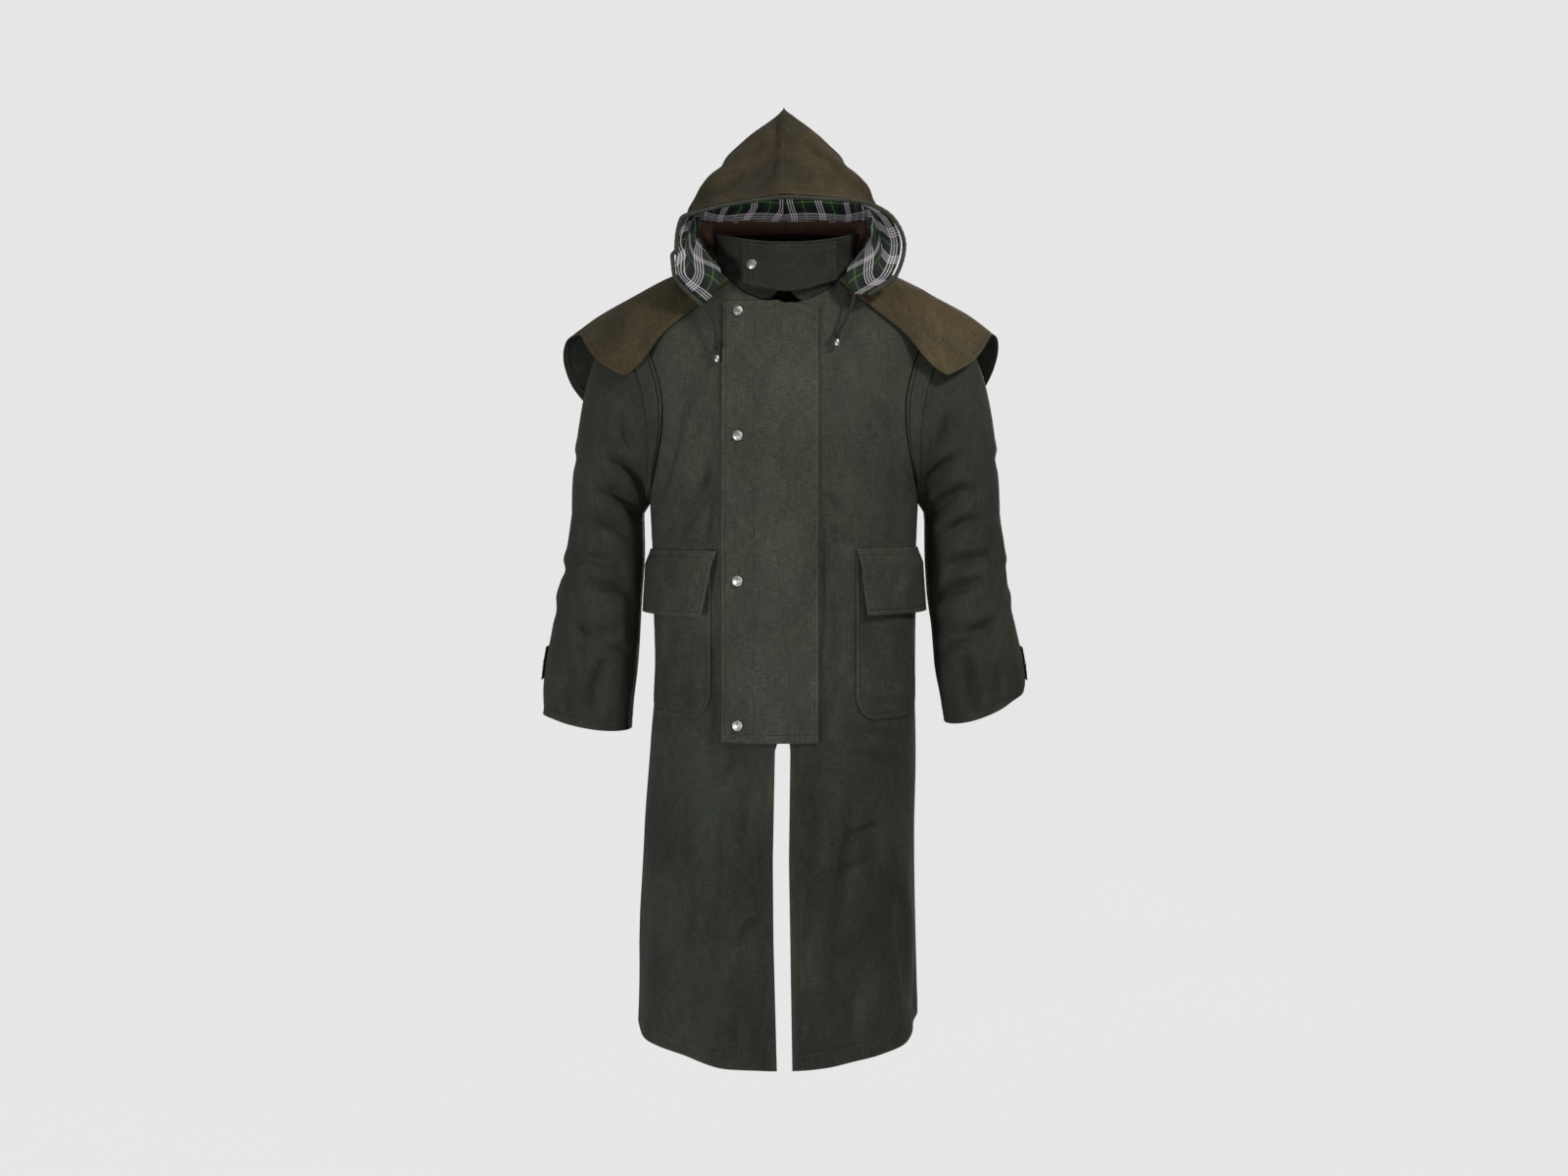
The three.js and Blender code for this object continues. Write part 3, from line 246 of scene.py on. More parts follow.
BACK_CREASES = (
    (-40, -330, -120, -420, 9, 14, 3.6), (-60, -420, -150, -480, 8, 13, 3), (48, -350, 132, -420, -9, 14, 3.6),
    (66, -452, 150, -500, -8, 12, 3), (-8, -240, -12, -430, 3, 9, 1.8), (-178, -330, -196, -430, -4, 9, 3.4),
    (176, -340, 194, -440, 4, 9, 3.2), (-92, -560, -110, -760, 8, 18, 4.2), (88, -540, 112, -730, -8, 18, 4),
    (-30, -700, -46, -900, 5, 13, 3.2), (30, -720, 40, -930, -6, 14, 3.4), (-130, -760, -150, -1010, 8, 16, 4.4),
    (124, -780, 146, -1040, -7, 17, 4.4), (-64, -900, -78, -1160, 6, 15, 3.6), (66, -930, 84, -1170, -6, 15, 3.4),
    (-24, -820, -50, -814, 1, 4, 1.7), (-23, -868, -46, -876, 1, 4, 1.5), (20, -842, 46, -836, 1, 4, 1.7),
    (20, -905, 40, -912, 1, 4, 1.4), (-40, -610, 44, -628, -8, 12, 1.8), (-60, -505, 34, -520, 6, 11, 1.6),
)
SLEEVE_CREASES = (
    (200, -360, 262, -300, 9, 9, 4.6), (214, -392, 286, -346, 10, 9, 4.2), (226, -428, 296, -392, 8, 8, 3.4),
    (222, -300, 240, -236, -6, 9, 3.4), (236, -470, 318, -452, 10, 9, 3.6), (222, -520, 300, -486, 9, 9, 3.8),
    (240, -560, 322, -542, -8, 9, 3), (232, -596, 296, -574, 7, 8, 2.8), (300, -400, 316, -500, 6, 10, 3),
    (262, -590, 280, -690, 6, 11, 3.4), (322, -600, 330, -688, -5, 9, 2.6), (292, -520, 300, -610, 5, 10, 2.2),
)
SLEEVE_BACK_CREASES = (
    (206, -352, 270, -312, 9, 10, 4.2), (216, -412, 300, -376, 9, 10, 4), (230, -476, 326, -446, -9, 10, 4.2),
    (226, -520, 320, -506, 8, 9, 3.6), (238, -556, 330, -566, -7, 9, 3.2), (262, -600, 276, -690, 6, 12, 3),
    (312, -420, 326, -520, 6, 10, 2.8),
)
SLEEVE_SIDE_CREASES = (
    (-40, -300, 30, -330, 6, 10, 2.4), (-36, -470, 40, -452, -7, 10, 3), (-30, -540, 36, -520, 7, 10, 2.8),
    (10, -560, 4, -690, 5, 11, 2.6),
)
POCKET_CREASES = (
    (118, -560, 150, -600, 5, 9, 1.6), (170, -548, 186, -640, -5, 8, 1.8), (124, -650, 168, -664, -4, 7, 1.6),
    (140, -600, 156, -668, 5, 9, 1.4), (186, -570, 190, -660, 3, 7, 1.6),
)
POCKET_FLAP_CREASES = (
    (128, -448, 150, -524, 4, 10, 1.7), (176, -446, 160, -520, -4, 9, 1.5), (112, -470, 130, -520, 4, 8, 1.2),
)
COLLAR_CREASES = (
    (-98, -22, -66, -10, 4, 6, 1.7), (-96, 4, -70, -20, -4, 6, 1.6), (-84, -34, -60, -36, 3, 5, 1.4),
    (-70, 20, -60, -14, 3, 5, 1.3), (84, 20, 98, -18, -4, 7, 1.8), (80, -6, 92, -36, -3, 6, 1.5),
    (-54, -54, -20, -62, 2, 4, 1.0),
)
TAB_CREASES = ((20, 6, 62, -30, -6, 8, 1.6), (-30, -20, 30, -34, 5, 7, 1.3), (46, 14, 70, -12, -3, 6, 1.2))
CAPE_CREASES = (
    (-150, -70, -226, -112, 7, 12, 2.4), (-118, -96, -176, -160, 6, 11, 2.2), (-206, -60, -262, -92, -5, 11, 2),
    (-232, -120, -250, -150, 3, 9, 1.6), (150, -66, 232, -108, -7, 12, 2.4), (122, -100, 186, -164, -6, 11, 2.2),
    (204, -58, 266, -88, 5, 11, 2), (236, -122, 262, -150, 3, 9, 1.6),
)
CAPE_BACK_CREASES = (
    (-60, -60, -96, -270, 9, 16, 4.6), (-140, -70, -200, -260, 10, 17, 5), (10, -60, 4, -250, 5, 14, 3),
    (70, -60, 104, -270, -9, 16, 4.4), (150, -76, 210, -256, -10, 17, 5), (-226, -110, -262, -220, 5, 12, 3.4),
    (228, -110, 264, -220, -5, 12, 3.4),
)
HOOD_CREASES = (
    (-34, 196, -78, 118, 6, 10, 2.6), (-60, 130, -128, 82, 7, 10, 2.8), (-96, 96, -140, 70, -4, 9, 2),
    (-14, 150, -34, 100, 4, 9, 2), (30, 190, 76, 122, -6, 11, 2.4), (52, 140, 122, 92, -7, 11, 2.6),
    (96, 98, 140, 74, 4, 8, 2.2), (16, 136, 40, 98, -4, 9, 1.8), (-128, 40, -146, -20, 4, 9, 2.4),
    (132, 44, 148, -16, -4, 9, 2.4), (-14, 236, -16, 130, 2, 9, 1.5), (14, 228, 15, 140, -1, 8, 0.8),
    (20, 164, 98, 128, -5, 12, 3),
)
HOOD_SIDE_CREASES = (
    (-40, 30, 40, 60, 8, 13, 3.4), (-30, 70, 60, 110, 9, 13, 3.4), (0, 10, 70, 20, -6, 11, 3),
    (20, 120, 96, 150, 7, 12, 2.8), (40, 60, 110, 70, -7, 12, 3), (-20, -10, 40, 4, 5, 9, 2.6),
)
CREASE_STRENGTH = 2.3  # what the depths in the tables are multiplied by
CREASE_TAPER = 0.8  # how suddenly a crease ends: the power of a half sine along it
CREASE_EDGE = 1.7  # how sharply its trough ends across it: the power inside the bell
CREASE_RIDGE = 0.45  # how high the cloth rises beside a crease, as a share of its depth
RIDGE_OFF = 1.9  # how far the ridge lies from the trough, in widths of the crease
COCKLE_WAVES = (55, 190)  # shortest and longest wave of hanging cloth, in millimetres

RNG_SEED = 7

# The plaid, as shares of its repeat, and its twill in metres
PLAID_LINES = (4, 3)  # white lines in each yarn way
PLAID_PHASES = (0.33, 0.0)  # where each way's sequence starts
PLAID_LINES_AT = 0.745  # middle of the group of white lines
PLAID_LINE_PITCH = 0.088  # from one white line to the next
PLAID_LINE_HALF = 0.32  # half a line's width, as a share of that pitch
TWILL_PITCH = 0.0024


class CoatSizes(bpy.types.PropertyGroup):
    """Sizes of the coat's sewing and fittings"""

    stitch_length: FloatProperty(
        name="Stitch Length", description="Length of one stitch that shows", default=3.4 * MM, min=0.001,
        unit="LENGTH", precision=4,
    )
    stitch_pitch: FloatProperty(
        name="Stitch Pitch", description="From the start of one stitch to the next", default=4.6 * MM, min=0.0015,
        unit="LENGTH", precision=4,
    )
    thread_width: FloatProperty(
        name="Thread Width", description="Width of the sewing thread", default=0.75 * MM, min=0.0002,
        unit="LENGTH", precision=4,
    )
    hem_depth: FloatProperty(
        name="Hem Depth", description="From a hem's edge to its stitching", default=22 * MM, min=0.004,
        unit="LENGTH", precision=4,
    )
    plaid_repeat: FloatProperty(
        name="Plaid Repeat", description="Width of one repeat of the lining's plaid", default=47 * MM, min=0.01,
        unit="LENGTH", precision=4,
    )
    camera_distance: FloatProperty(
        name="Camera Distance", description="From the camera to the coat's middle", default=2.4, min=0.5,
        unit="LENGTH",
    )


class CoatColours(bpy.types.PropertyGroup):
    """Colours of the coat's cloth and fittings"""

    green: FloatVectorProperty(
        name="Green Cotton", description="Waxed cotton of the body and sleeves", default=(0.0144, 0.0160, 0.0117),
        subtype="COLOR", min=0, max=1,
    )
    green_dark: FloatVectorProperty(
        name="Dark Green Cotton", description="The same cotton lower down", default=(0.0066, 0.0078, 0.0060),
        subtype="COLOR", min=0, max=1,
    )
    olive: FloatVectorProperty(
        name="Olive Cotton", description="Waxed cotton of the cape and hood", default=(0.0235, 0.0190, 0.0094),
        subtype="COLOR", min=0, max=1,
    )
    rust: FloatVectorProperty(
        name="Rust Bloom", description="Where the wax has warmed the olive cotton", default=(0.0285, 0.0188, 0.0068),
        subtype="COLOR", min=0, max=1,
    )
    brown_shade: FloatVectorProperty(
        name="Brown Cast", description="Warm cast of the upper fronts", default=(0.0160, 0.0132, 0.0095),
        subtype="COLOR", min=0, max=1,
    )
    plaid_ground: FloatVectorProperty(
        name="Plaid Ground", description="Ground of the lining", default=(0.0032, 0.0036, 0.0050),
        subtype="COLOR", min=0, max=1,
    )
    plaid_green: FloatVectorProperty(
        name="Plaid Green", description="Broad bands of the lining", default=(0.0042, 0.0088, 0.0052),
        subtype="COLOR", min=0, max=1,
    )
    plaid_white: FloatVectorProperty(
        name="Plaid White", description="Thin lines of the lining", default=(0.37, 0.345, 0.364),
        subtype="COLOR", min=0, max=1,
    )
    plaid_lime: FloatVectorProperty(
        name="Plaid Lime", description="Single thin line of the lining", default=(0.055, 0.092, 0.028),
        subtype="COLOR", min=0, max=1,
    )
    neck_brown: FloatVectorProperty(
        name="Neck Lining", description="Plain lining of the hood's neck", default=(0.11, 0.062, 0.046),
        subtype="COLOR", min=0, max=1,
    )
    cord: FloatVectorProperty(
        name="Cord", description="Yarn of the draw cords", default=(0.008, 0.0055, 0.005), subtype="COLOR",
        min=0, max=1,
    )
    metal: FloatVectorProperty(
        name="Metal", description="Press studs and cord ends", default=(0.21, 0.205, 0.2), subtype="COLOR",
        min=0, max=1,
    )
    backdrop: FloatVectorProperty(
        name="Backdrop", description="Floor and background", default=(0.79, 0.79, 0.79), subtype="COLOR",
        min=0, max=1,
    )


# Curves and sections


def smooth(xs, ys, x):
    """A monotone cubic through the points (xs, ys), read at x. Its slope at each inner point is the harmonic mean of
    the steps on its two sides, or nought where they turn back; past the ends it runs on straight."""
    xs, ys, x = np.asarray(xs, float), np.asarray(ys, float), np.asarray(x, float)
    extra = (1,) * (ys.ndim - 1)
    steps = np.diff(ys, axis=0) / np.diff(xs).reshape(-1, *extra)
    before, after = steps[:-1], steps[1:]
    total = np.where(before + after == 0, 1, before + after)
    inner = np.where(before * after <= 0, 0, 2 * before * after / total)
    slopes = np.concatenate([steps[:1], inner, steps[-1:]])
    i = np.clip(np.searchsorted(xs, x, side="left") - 1, 0, len(xs) - 2)
    span = (xs[i + 1] - xs[i]).reshape(*x.shape, *extra)
    past = (x - xs[i]).reshape(*x.shape, *extra)
    t = past / span
    s = 1 - t
    curve = (
        ys[i] * (1 + 2 * t) * s * s + ys[i + 1] * (3 - 2 * t) * t * t
        + span * t * s * (slopes[i] * s - slopes[i + 1] * t)
    )
    before_start = ys[i] + slopes[i] * past
    after_end = ys[i + 1] + slopes[i + 1] * (past - span)
    return np.where(t <= 0, before_start, np.where(t >= 1, after_end, curve))


def ease(t, low=0.0, high=1.0):
    """0 below low, 1 above high and a smooth S between them."""
    t = np.clip((t - low) / (high - low), 0, 1)
    return t * t * (3 - 2 * t)


def mix(a, b, t):
    """The straight way from a to b, read at a share t of it."""
    return a + (b - a) * t


def unit(vectors):
    """Vectors divided by their own lengths."""
    return vectors / np.maximum(np.linalg.norm(vectors, axis=-1, keepdims=True), 1e-9)


def section(rings, at):
    """The rounded section of a stack of rings at each place along it."""
    values = smooth(rings[:, 0], rings[:, 1:], at)
    return {name: values[..., i] for i, name in enumerate(RING_NAMES)}


def ring_points(sec, angle):
    """Points of a superellipse at an angle from the front centre; the height falls from the side's to the front's or
    back's as the point leaves the side."""
    forward = np.cos(angle) >= 0
    depth = np.where(forward, sec["fore"], sec["aft"])
    across = np.abs(np.sin(angle)) / sec["half"]
    along = np.abs(np.cos(angle)) / depth
    reach = (across ** sec["square"] + along ** sec["square"]) ** (-1 / sec["square"])
    away = reach * np.abs(np.cos(angle)) / depth
    end = np.where(forward, sec["front"], sec["back"])
    return np.stack([
        sec["shift"] + reach * np.sin(angle),
        -reach * np.cos(angle),
        sec["side"] + (end - sec["side"]) * away ** SHOULDER_ROUND,
    ], axis=-1)


def fold_depth(folds, angle, place):
    """How far long folds press the cloth in: each is a bell across its leaning line, full at the hem and faded at its
    free ends."""
    depth = np.zeros(np.broadcast(angle, place).shape)
    for low_angle, low, top_angle, top, width, deep in folds:
        t = (place - low) / (top - low)
        fade_out = ease(1 - t)
        fade_in = 1.0 if low == 0 else ease(t, -FOLD_EASE, FOLD_EASE)
        off = angle - mix(low_angle, top_angle, t) * DEG
        off = np.arctan2(np.sin(off), np.cos(off)) / (width * DEG)
        inside = (t > -FOLD_EASE) & (t < 1)
        depth += np.where(inside, deep * fade_in * fade_out * np.exp(-off * off), 0)
    return depth


def outward(angle):
    """The level direction straight out of the body at an angle from its front."""
    return np.stack([np.sin(angle), -np.cos(angle), np.zeros_like(angle)], axis=-1)


def body_points(angle, at):
    """The body's outer surface: its rings, with the long folds pressed in towards the middle."""
    angle, at = np.broadcast_arrays(np.asarray(angle, float), np.asarray(at, float))
    return ring_points(section(BODY_RINGS, at), angle) - outward(angle) * fold_depth(BODY_FOLDS, angle, at)[..., None]


def angle_at_x(sec, x, on_front):
    """The angle at which a ring reaches x, on the front or on the back."""
    depth = sec["fore"] if on_front else sec["aft"]
    aside = x - sec["shift"]
    share = np.minimum(1, np.abs(aside) / sec["half"])
    y = depth * (1 - share ** sec["square"]) ** (1 / sec["square"])
    angle = np.arctan2(np.abs(aside), y) * np.sign(aside)
    return angle if on_front else np.pi - angle


def place_at_height(height):
    """The place along the body's stack where the front centre has that height."""
    at = np.linspace(0, NECK_AT, 4000)
    return np.interp(height, section(BODY_RINGS, at)["front"], at)


def front_points(x, height):
    """Points of the body's front at an x and a height, found by halving the place along the stack."""
    x, height = np.broadcast_arrays(np.asarray(x, float), np.asarray(height, float))
    low, high = np.zeros(x.shape), np.full(x.shape, NECK_AT)
    for _ in range(30):
        middle = (low + high) / 2
        z = body_points(angle_at_x(section(BODY_RINGS, middle), x, True), middle)[..., 2]
        low, high = np.where(z < height, middle, low), np.where(z < height, high, middle)
    middle = (low + high) / 2
    return body_points(angle_at_x(section(BODY_RINGS, middle), x, True), middle)


def armhole_spread(at):
    """Half the armhole's width at a place, as an angle: it is an ellipse on the unrolled body."""
    cosine = np.clip(1 - 2 * (at - TIP_AT) / (UNDERARM_AT - TIP_AT), -1, 1)
    return ARMHOLE_SPREAD * np.sqrt(np.maximum(0, 1 - cosine * cosine))


# Grids, relief and meshes


def spaced(count, length, seams=()):
    """Shares from 0 to 1: evenly spaced lines, close ones beside both ends for the rounded edge, and five round each
    seam, so that its groove is sharp. The length is the way's, in millimetres."""
    near = [EDGE_WIDTH / length, 1 - EDGE_WIDTH / length]
    beside = [s + d / length for s in seams for d in SEAM_LINES]
    lines = np.unique(np.concatenate([np.linspace(0, 1, count), near, beside]))
    keep = np.concatenate([[True], np.diff(lines) > 0.3 / length])
    return lines[keep & (lines >= 0) & (lines <= 1)]


def mesh_of(us, vs):
    """Two shares as whole arrays, the first along axis 0 and the second along axis 1."""
    return np.meshgrid(us, vs, indexing="ij")


def normals_of(points, side, closed=False):
    """Unit normals of a grid: the cross product of the differences along its two ways."""
    across = np.roll(points, -1, 0) - np.roll(points, 1, 0) if closed else np.gradient(points, axis=0)
    return unit(np.cross(across, np.gradient(points, axis=1)) * side)


def way_lengths(points, axis):
    """The length from a grid's first line to each point along one way, or along a path: its steps added up."""
    steps = np.linalg.norm(np.diff(points, axis=axis), axis=-1)
    start = np.zeros_like(np.take(steps, [0], axis=axis))
    return np.concatenate([start, np.cumsum(steps, axis=axis)], axis=axis)


def creases(a, b, table, mirror=1, strength=CREASE_STRENGTH):
    """How far listed creases press the cloth in. Each is a bowed line from one end to the other: a sharp trough
    across it with a low ridge on one side, faded at both ends."""
    depth = np.zeros(a.shape)
    for a0, b0, a1, b1, bow, width, deep in table:
        a0, a1 = mirror * a0, mirror * a1
        length = math.hypot(a1 - a0, b1 - b0)
        ta, tb = (a1 - a0) / length, (b1 - b0) / length
        t = ((a - a0) * ta + (b - b0) * tb) / length
        off = (-(a - a0) * tb + (b - b0) * ta - mirror * bow * 4 * t * (1 - t)) / width
        taper = np.where((t > 0) & (t < 1), np.sin(np.pi * np.clip(t, 0, 1)) ** CREASE_TAPER, 0)
        trough, ridge = np.exp(-np.abs(off) ** CREASE_EDGE), np.exp(-((off - RIDGE_OFF) ** 2))
        depth += strength * deep * taper * (trough - CREASE_RIDGE * ridge)
    return depth


def cockle(a, b, amount, seed):
    """The slight unevenness of hanging cloth: eight long waves in seeded directions, added up."""
    rng = np.random.default_rng(RNG_SEED + seed)
    total = np.zeros(a.shape)
    for _ in range(8):
        turn, wave, phase = rng.uniform(0, np.pi), rng.uniform(*COCKLE_WAVES), rng.uniform(0, 2 * np.pi)
        total += np.sin((a * np.cos(turn) + b * np.sin(turn) * 0.55) * 2 * np.pi / wave + phase)
    return amount * total / 4


def groove(distance, along, deep=0.55, pucker=0.45, seed=0):
    """A line of stitching pulled into the cloth: a narrow groove, a bell across the line, and small gathers, a sine
    along it with a wandering phase, that die away beside it."""
    wander = 1.6 * np.sin(along * 2 * np.pi / 53 + seed) + 0.9 * np.sin(along * 2 * np.pi / 23 + 2 * seed)
    gather = np.sin(along * 2 * np.pi / GATHER_WAVE + wander)
    pulled = GROOVE_DEPTH * deep * np.exp(-((distance / GROOVE_HALF) ** 2))
    return pulled + pucker * gather * np.exp(-np.abs(distance) / GATHER_FADE)


class Cloth:
    """A piece of cloth as a grid of points on its outer face, with what is needed to sew on it."""

    def __init__(self, points, side, closed=False):
        self.points = points
        self.side = side
        self.closed = closed
        self.normal = normals_of(points, side, closed)
        self.wear = np.zeros(points.shape[:2])

    def press(self, depth):
        """Moves the face in by a depth at each point, and brings its normals up to date."""
        self.points = self.points - self.normal * depth[..., None]
        self.normal = normals_of(self.points, self.side, self.closed)

    def facing(self, axis, sign):
        """1 where the face looks along an axis, 0 where it is edge on or looks away."""
        return ease(sign * self.normal[..., axis], 0.05, 0.45)

    def sew(self, us, vs, u_lines=(), v_lines=(), deep=0.55, pucker=0.45):
        """Presses in the grooves and gathers of rows of stitching, each at a share of one of the two ways."""
        along_u, along_v = way_lengths(self.points, 0), way_lengths(self.points, 1)
        depth = np.zeros(self.points.shape[:2])
        for k, u in enumerate(u_lines):
            line = np.array([np.interp(u, us, along_u[:, j]) for j in range(len(vs))])
            depth += groove(along_u - line[None, :], along_v, deep, pucker, k)
        for k, v in enumerate(v_lines):
            line = np.array([np.interp(v, vs, along_v[i]) for i in range(len(us))])
            depth += groove(along_v - line[:, None], along_u, deep, pucker, k + 5)
        self.press(depth)

    def row(self, us, vs, u=None, v=None, start=0.0, end=1.0, count=400, lift=0.0):
        """Points and normals of the face along a line of constant share, from start to end of the other way; the
        points stand off the face by the lift."""
        run = np.linspace(start, end, count)
        u_at, v_at = (np.full(count, u), run) if u is not None else (run, np.full(count, v))
        points, normal = self.read(us, vs, u_at, v_at)
        return points + normal * lift, normal

    def read(self, us, vs, u_at, v_at):
        """Points and normals of the face at pairs of shares: the mean of the four grid points round each, weighed by
        how near they are."""
        fi = np.interp(u_at, us, np.arange(len(us)))
        fj = np.interp(v_at, vs, np.arange(len(vs)))
        i = np.clip(fi.astype(int), 0, len(us) - 2)
        j = np.clip(fj.astype(int), 0, len(vs) - 2)
        s, t = (fi - i)[:, None], (fj - j)[:, None]
        return [
            g[i, j] * (1 - s) * (1 - t) + g[i + 1, j] * s * (1 - t)
            + g[i, j + 1] * (1 - s) * t + g[i + 1, j + 1] * s * t
            for g in (self.points, self.normal)
        ]


def shell(cloth, thick, out=0.0, hold=None, uv_start=(0.0, 0.0)):
    """A closed wall of cloth: an outer skin at the face plus out, an inner skin a thickness under it, and the rims
    between them. On the rims both skins draw together, which rounds the cut edge. Returns vertices, quads, UVs."""
    points, closed, side = cloth.points, cloth.closed, cloth.side
    nu, nv = points.shape[:2]
    inset = np.zeros((nu, nv))
    inset[:, [0, -1]] = EDGE_ROUND * thick
    if not closed:
        inset[[0, -1], :] = EDGE_ROUND * thick
    outer = points + cloth.normal * (out - inset)[..., None]
    inner = points + cloth.normal * (out - thick + inset)[..., None]
    skins = np.stack([outer, inner])
    if hold is not None:
        skins = hold(skins)
    ids = np.arange(2 * nu * nv).reshape(2, nu, nv)
    along_u, along_v = way_lengths(points, 0), way_lengths(points, 1)
    if closed:
        ids = np.concatenate([ids, ids[:, :1]], axis=1)
        last = np.linalg.norm(points[0] - points[-1], axis=-1)
        along_u = np.concatenate([along_u, (along_u[-1] + last)[None]], axis=0)
        along_v = np.concatenate([along_v, along_v[:1]], axis=0)
    uv = np.stack([along_u * MM + uv_start[0], along_v * MM + uv_start[1]], axis=-1)
    uv = np.stack([uv, uv])
    wide = ids.shape[1]
    corner = np.arange(2 * wide * nv).reshape(2, wide, nv)

    def quads(a, b, c, d):
        """Quads from four arrays of corners."""
        return np.stack([a.ravel(), b.ravel(), c.ravel(), d.ravel()], axis=-1)

    top, low = corner
    faces = [
        quads(top[:-1, :-1], top[1:, :-1], top[1:, 1:], top[:-1, 1:]),
        quads(low[:-1, :-1], low[:-1, 1:], low[1:, 1:], low[1:, :-1]),
        quads(top[:-1, 0], low[:-1, 0], low[1:, 0], top[1:, 0]),
        quads(top[:-1, -1], top[1:, -1], low[1:, -1], low[:-1, -1]),
    ]
    if not closed:
        faces.append(quads(top[0, :-1], top[0, 1:], low[0, 1:], low[0, :-1]))
        faces.append(quads(top[-1, :-1], low[-1, :-1], low[-1, 1:], top[-1, 1:]))
    faces = np.concatenate(faces)
    if side < 0:
        faces = faces[:, ::-1]
    return skins.reshape(-1, 3), ids.ravel()[faces], uv.reshape(-1, 2)[faces]


def make_piece(name, vertices, faces, material, nodes=(), uv=None, wear=None):
    """Puts a mesh in the scene, in metres, riding on the coat and standing for its nodes of the frame."""
    mesh = bpy.data.meshes.new(name)
    mesh.from_pydata(vertices * MM, [], faces)
    mesh.polygons.foreach_set("use_smooth", np.ones(len(faces), bool))
    if uv is not None:
        mesh.uv_layers.new(name="UVMap").data.foreach_set("uv", uv.astype(np.float32).ravel())
    values = np.zeros(len(vertices), np.float32) if wear is None else wear.astype(np.float32).ravel()
    mesh.attributes.new("wear", "FLOAT", "POINT").data.foreach_set("value", values)
    mesh.materials.append(material)
    mesh.update()
    piece = bpy.data.objects.new(name, mesh)
    bpy.context.scene.collection.objects.link(piece)
    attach(piece, "root")
    if nodes:
        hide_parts(*nodes)
    return piece


def cloth_piece(name, cloth, thick, material, nodes, out=0.0, hold=None, uv_start=(0.0, 0.0)):
    """Makes a piece of cloth from its face. Its wear fades away from its cut edges over a few millimetres, and the
    wear that the face asks for is added."""
    vertices, faces, uv = shell(cloth, thick, out, hold, uv_start)
    along_v = way_lengths(cloth.points, 1)
    edge = np.exp(-along_v / WEAR_FADE) + np.exp(-(along_v[:, -1:] - along_v) / WEAR_FADE)
    if not cloth.closed:
        along_u = way_lengths(cloth.points, 0)
        edge += np.exp(-along_u / WEAR_FADE) + np.exp(-(along_u[-1:] - along_u) / WEAR_FADE)
    wear = np.clip(edge + cloth.wear, 0, 1)
    return make_piece(name, vertices, faces, material, nodes, uv, np.stack([wear, wear * 0.3]))


def stitches(name, rows, material):
    """Rows of thread: along each row, at the stitch pitch, a small spindle of eight sides sunk at both its ends. Each
    row is (points, normals) in millimetres on the cloth's face."""
    sizes = bpy.context.scene.coat_sizes
    long, pitch, wide = sizes.stitch_length / MM, sizes.stitch_pitch / MM, sizes.thread_width / MM
    centres, tangents, normals = [], [], []
    for points, normal in rows:
        way = way_lengths(points, 0)
        at = np.arange(pitch / 2, way[-1] - pitch / 2, pitch)
        if len(at) == 0:
            continue

        def read(values, where, way=way):
            """Values of the row at lengths along it."""
            return np.stack([np.interp(where, way, values[:, k]) for k in range(3)], axis=-1)

        centres.append(read(points, at))
        tangents.append(read(points, at + 1) - read(points, at - 1))
        normals.append(read(normal, at))
    centre, tangent, normal = (np.concatenate(x) for x in (centres, tangents, normals))
    tangent = unit(tangent)
    normal = unit(normal - tangent * (normal * tangent).sum(-1, keepdims=True))
    across = np.cross(tangent, normal)
    half, thick = wide / 2, wide * THREAD_FLAT
    ring = ((half, 0), (0, thick), (-half, 0), (0, -thick))
    template = np.array([
        (-long / 2, 0, -STITCH_SUNK),
        *((place, x, y + STITCH_LIFT) for place in (-long / 4, long / 4) for x, y in ring),
        (long / 2, 0, -STITCH_SUNK),
    ])
    vertices = (
        centre[:, None] + template[None, :, :1] * tangent[:, None] + template[None, :, 1:2] * across[:, None]
        + template[None, :, 2:] * normal[:, None]
    )
    tris = []
    for k in range(4):
        n = (k + 1) % 4
        tris += [(0, 1 + n, 1 + k), (9, 5 + k, 5 + n), (1 + k, 1 + n, 5 + n), (1 + k, 5 + n, 5 + k)]
    tris = np.array(tris)
    faces = (tris[None] + 10 * np.arange(len(centre))[:, None, None]).reshape(-1, 3)
    return make_piece(name, vertices.reshape(-1, 3), faces, material)


def frame_along(path):
    """Unit tangents of a path and two unit directions across it that turn as little as they can."""
    tangent = unit(np.gradient(path, axis=0))
    first = np.zeros_like(path)
    start = np.array([1.0, 0, 0]) if abs(tangent[0, 0]) < 0.8 else np.array([0, 1.0, 0])
    for k, t in enumerate(tangent):
        side = start - t * (start @ t)
        first[k] = start = side / np.linalg.norm(side)
    return tangent, first, np.cross(tangent, first)


def rings_round(path, radius, first, second):
    """A ring of points round each point of a path, in the plane of two directions across it: the radius times the
    cosine and sine of the turn. The radius is an array over the path and the turn."""
    sides = radius.shape[1]
    turn = np.arange(sides) / sides * 2 * np.pi
    ring = np.cos(turn)[None, :, None] * first[:, None] + np.sin(turn)[None, :, None] * second[:, None]
    return path[:, None] + radius[..., None] * ring


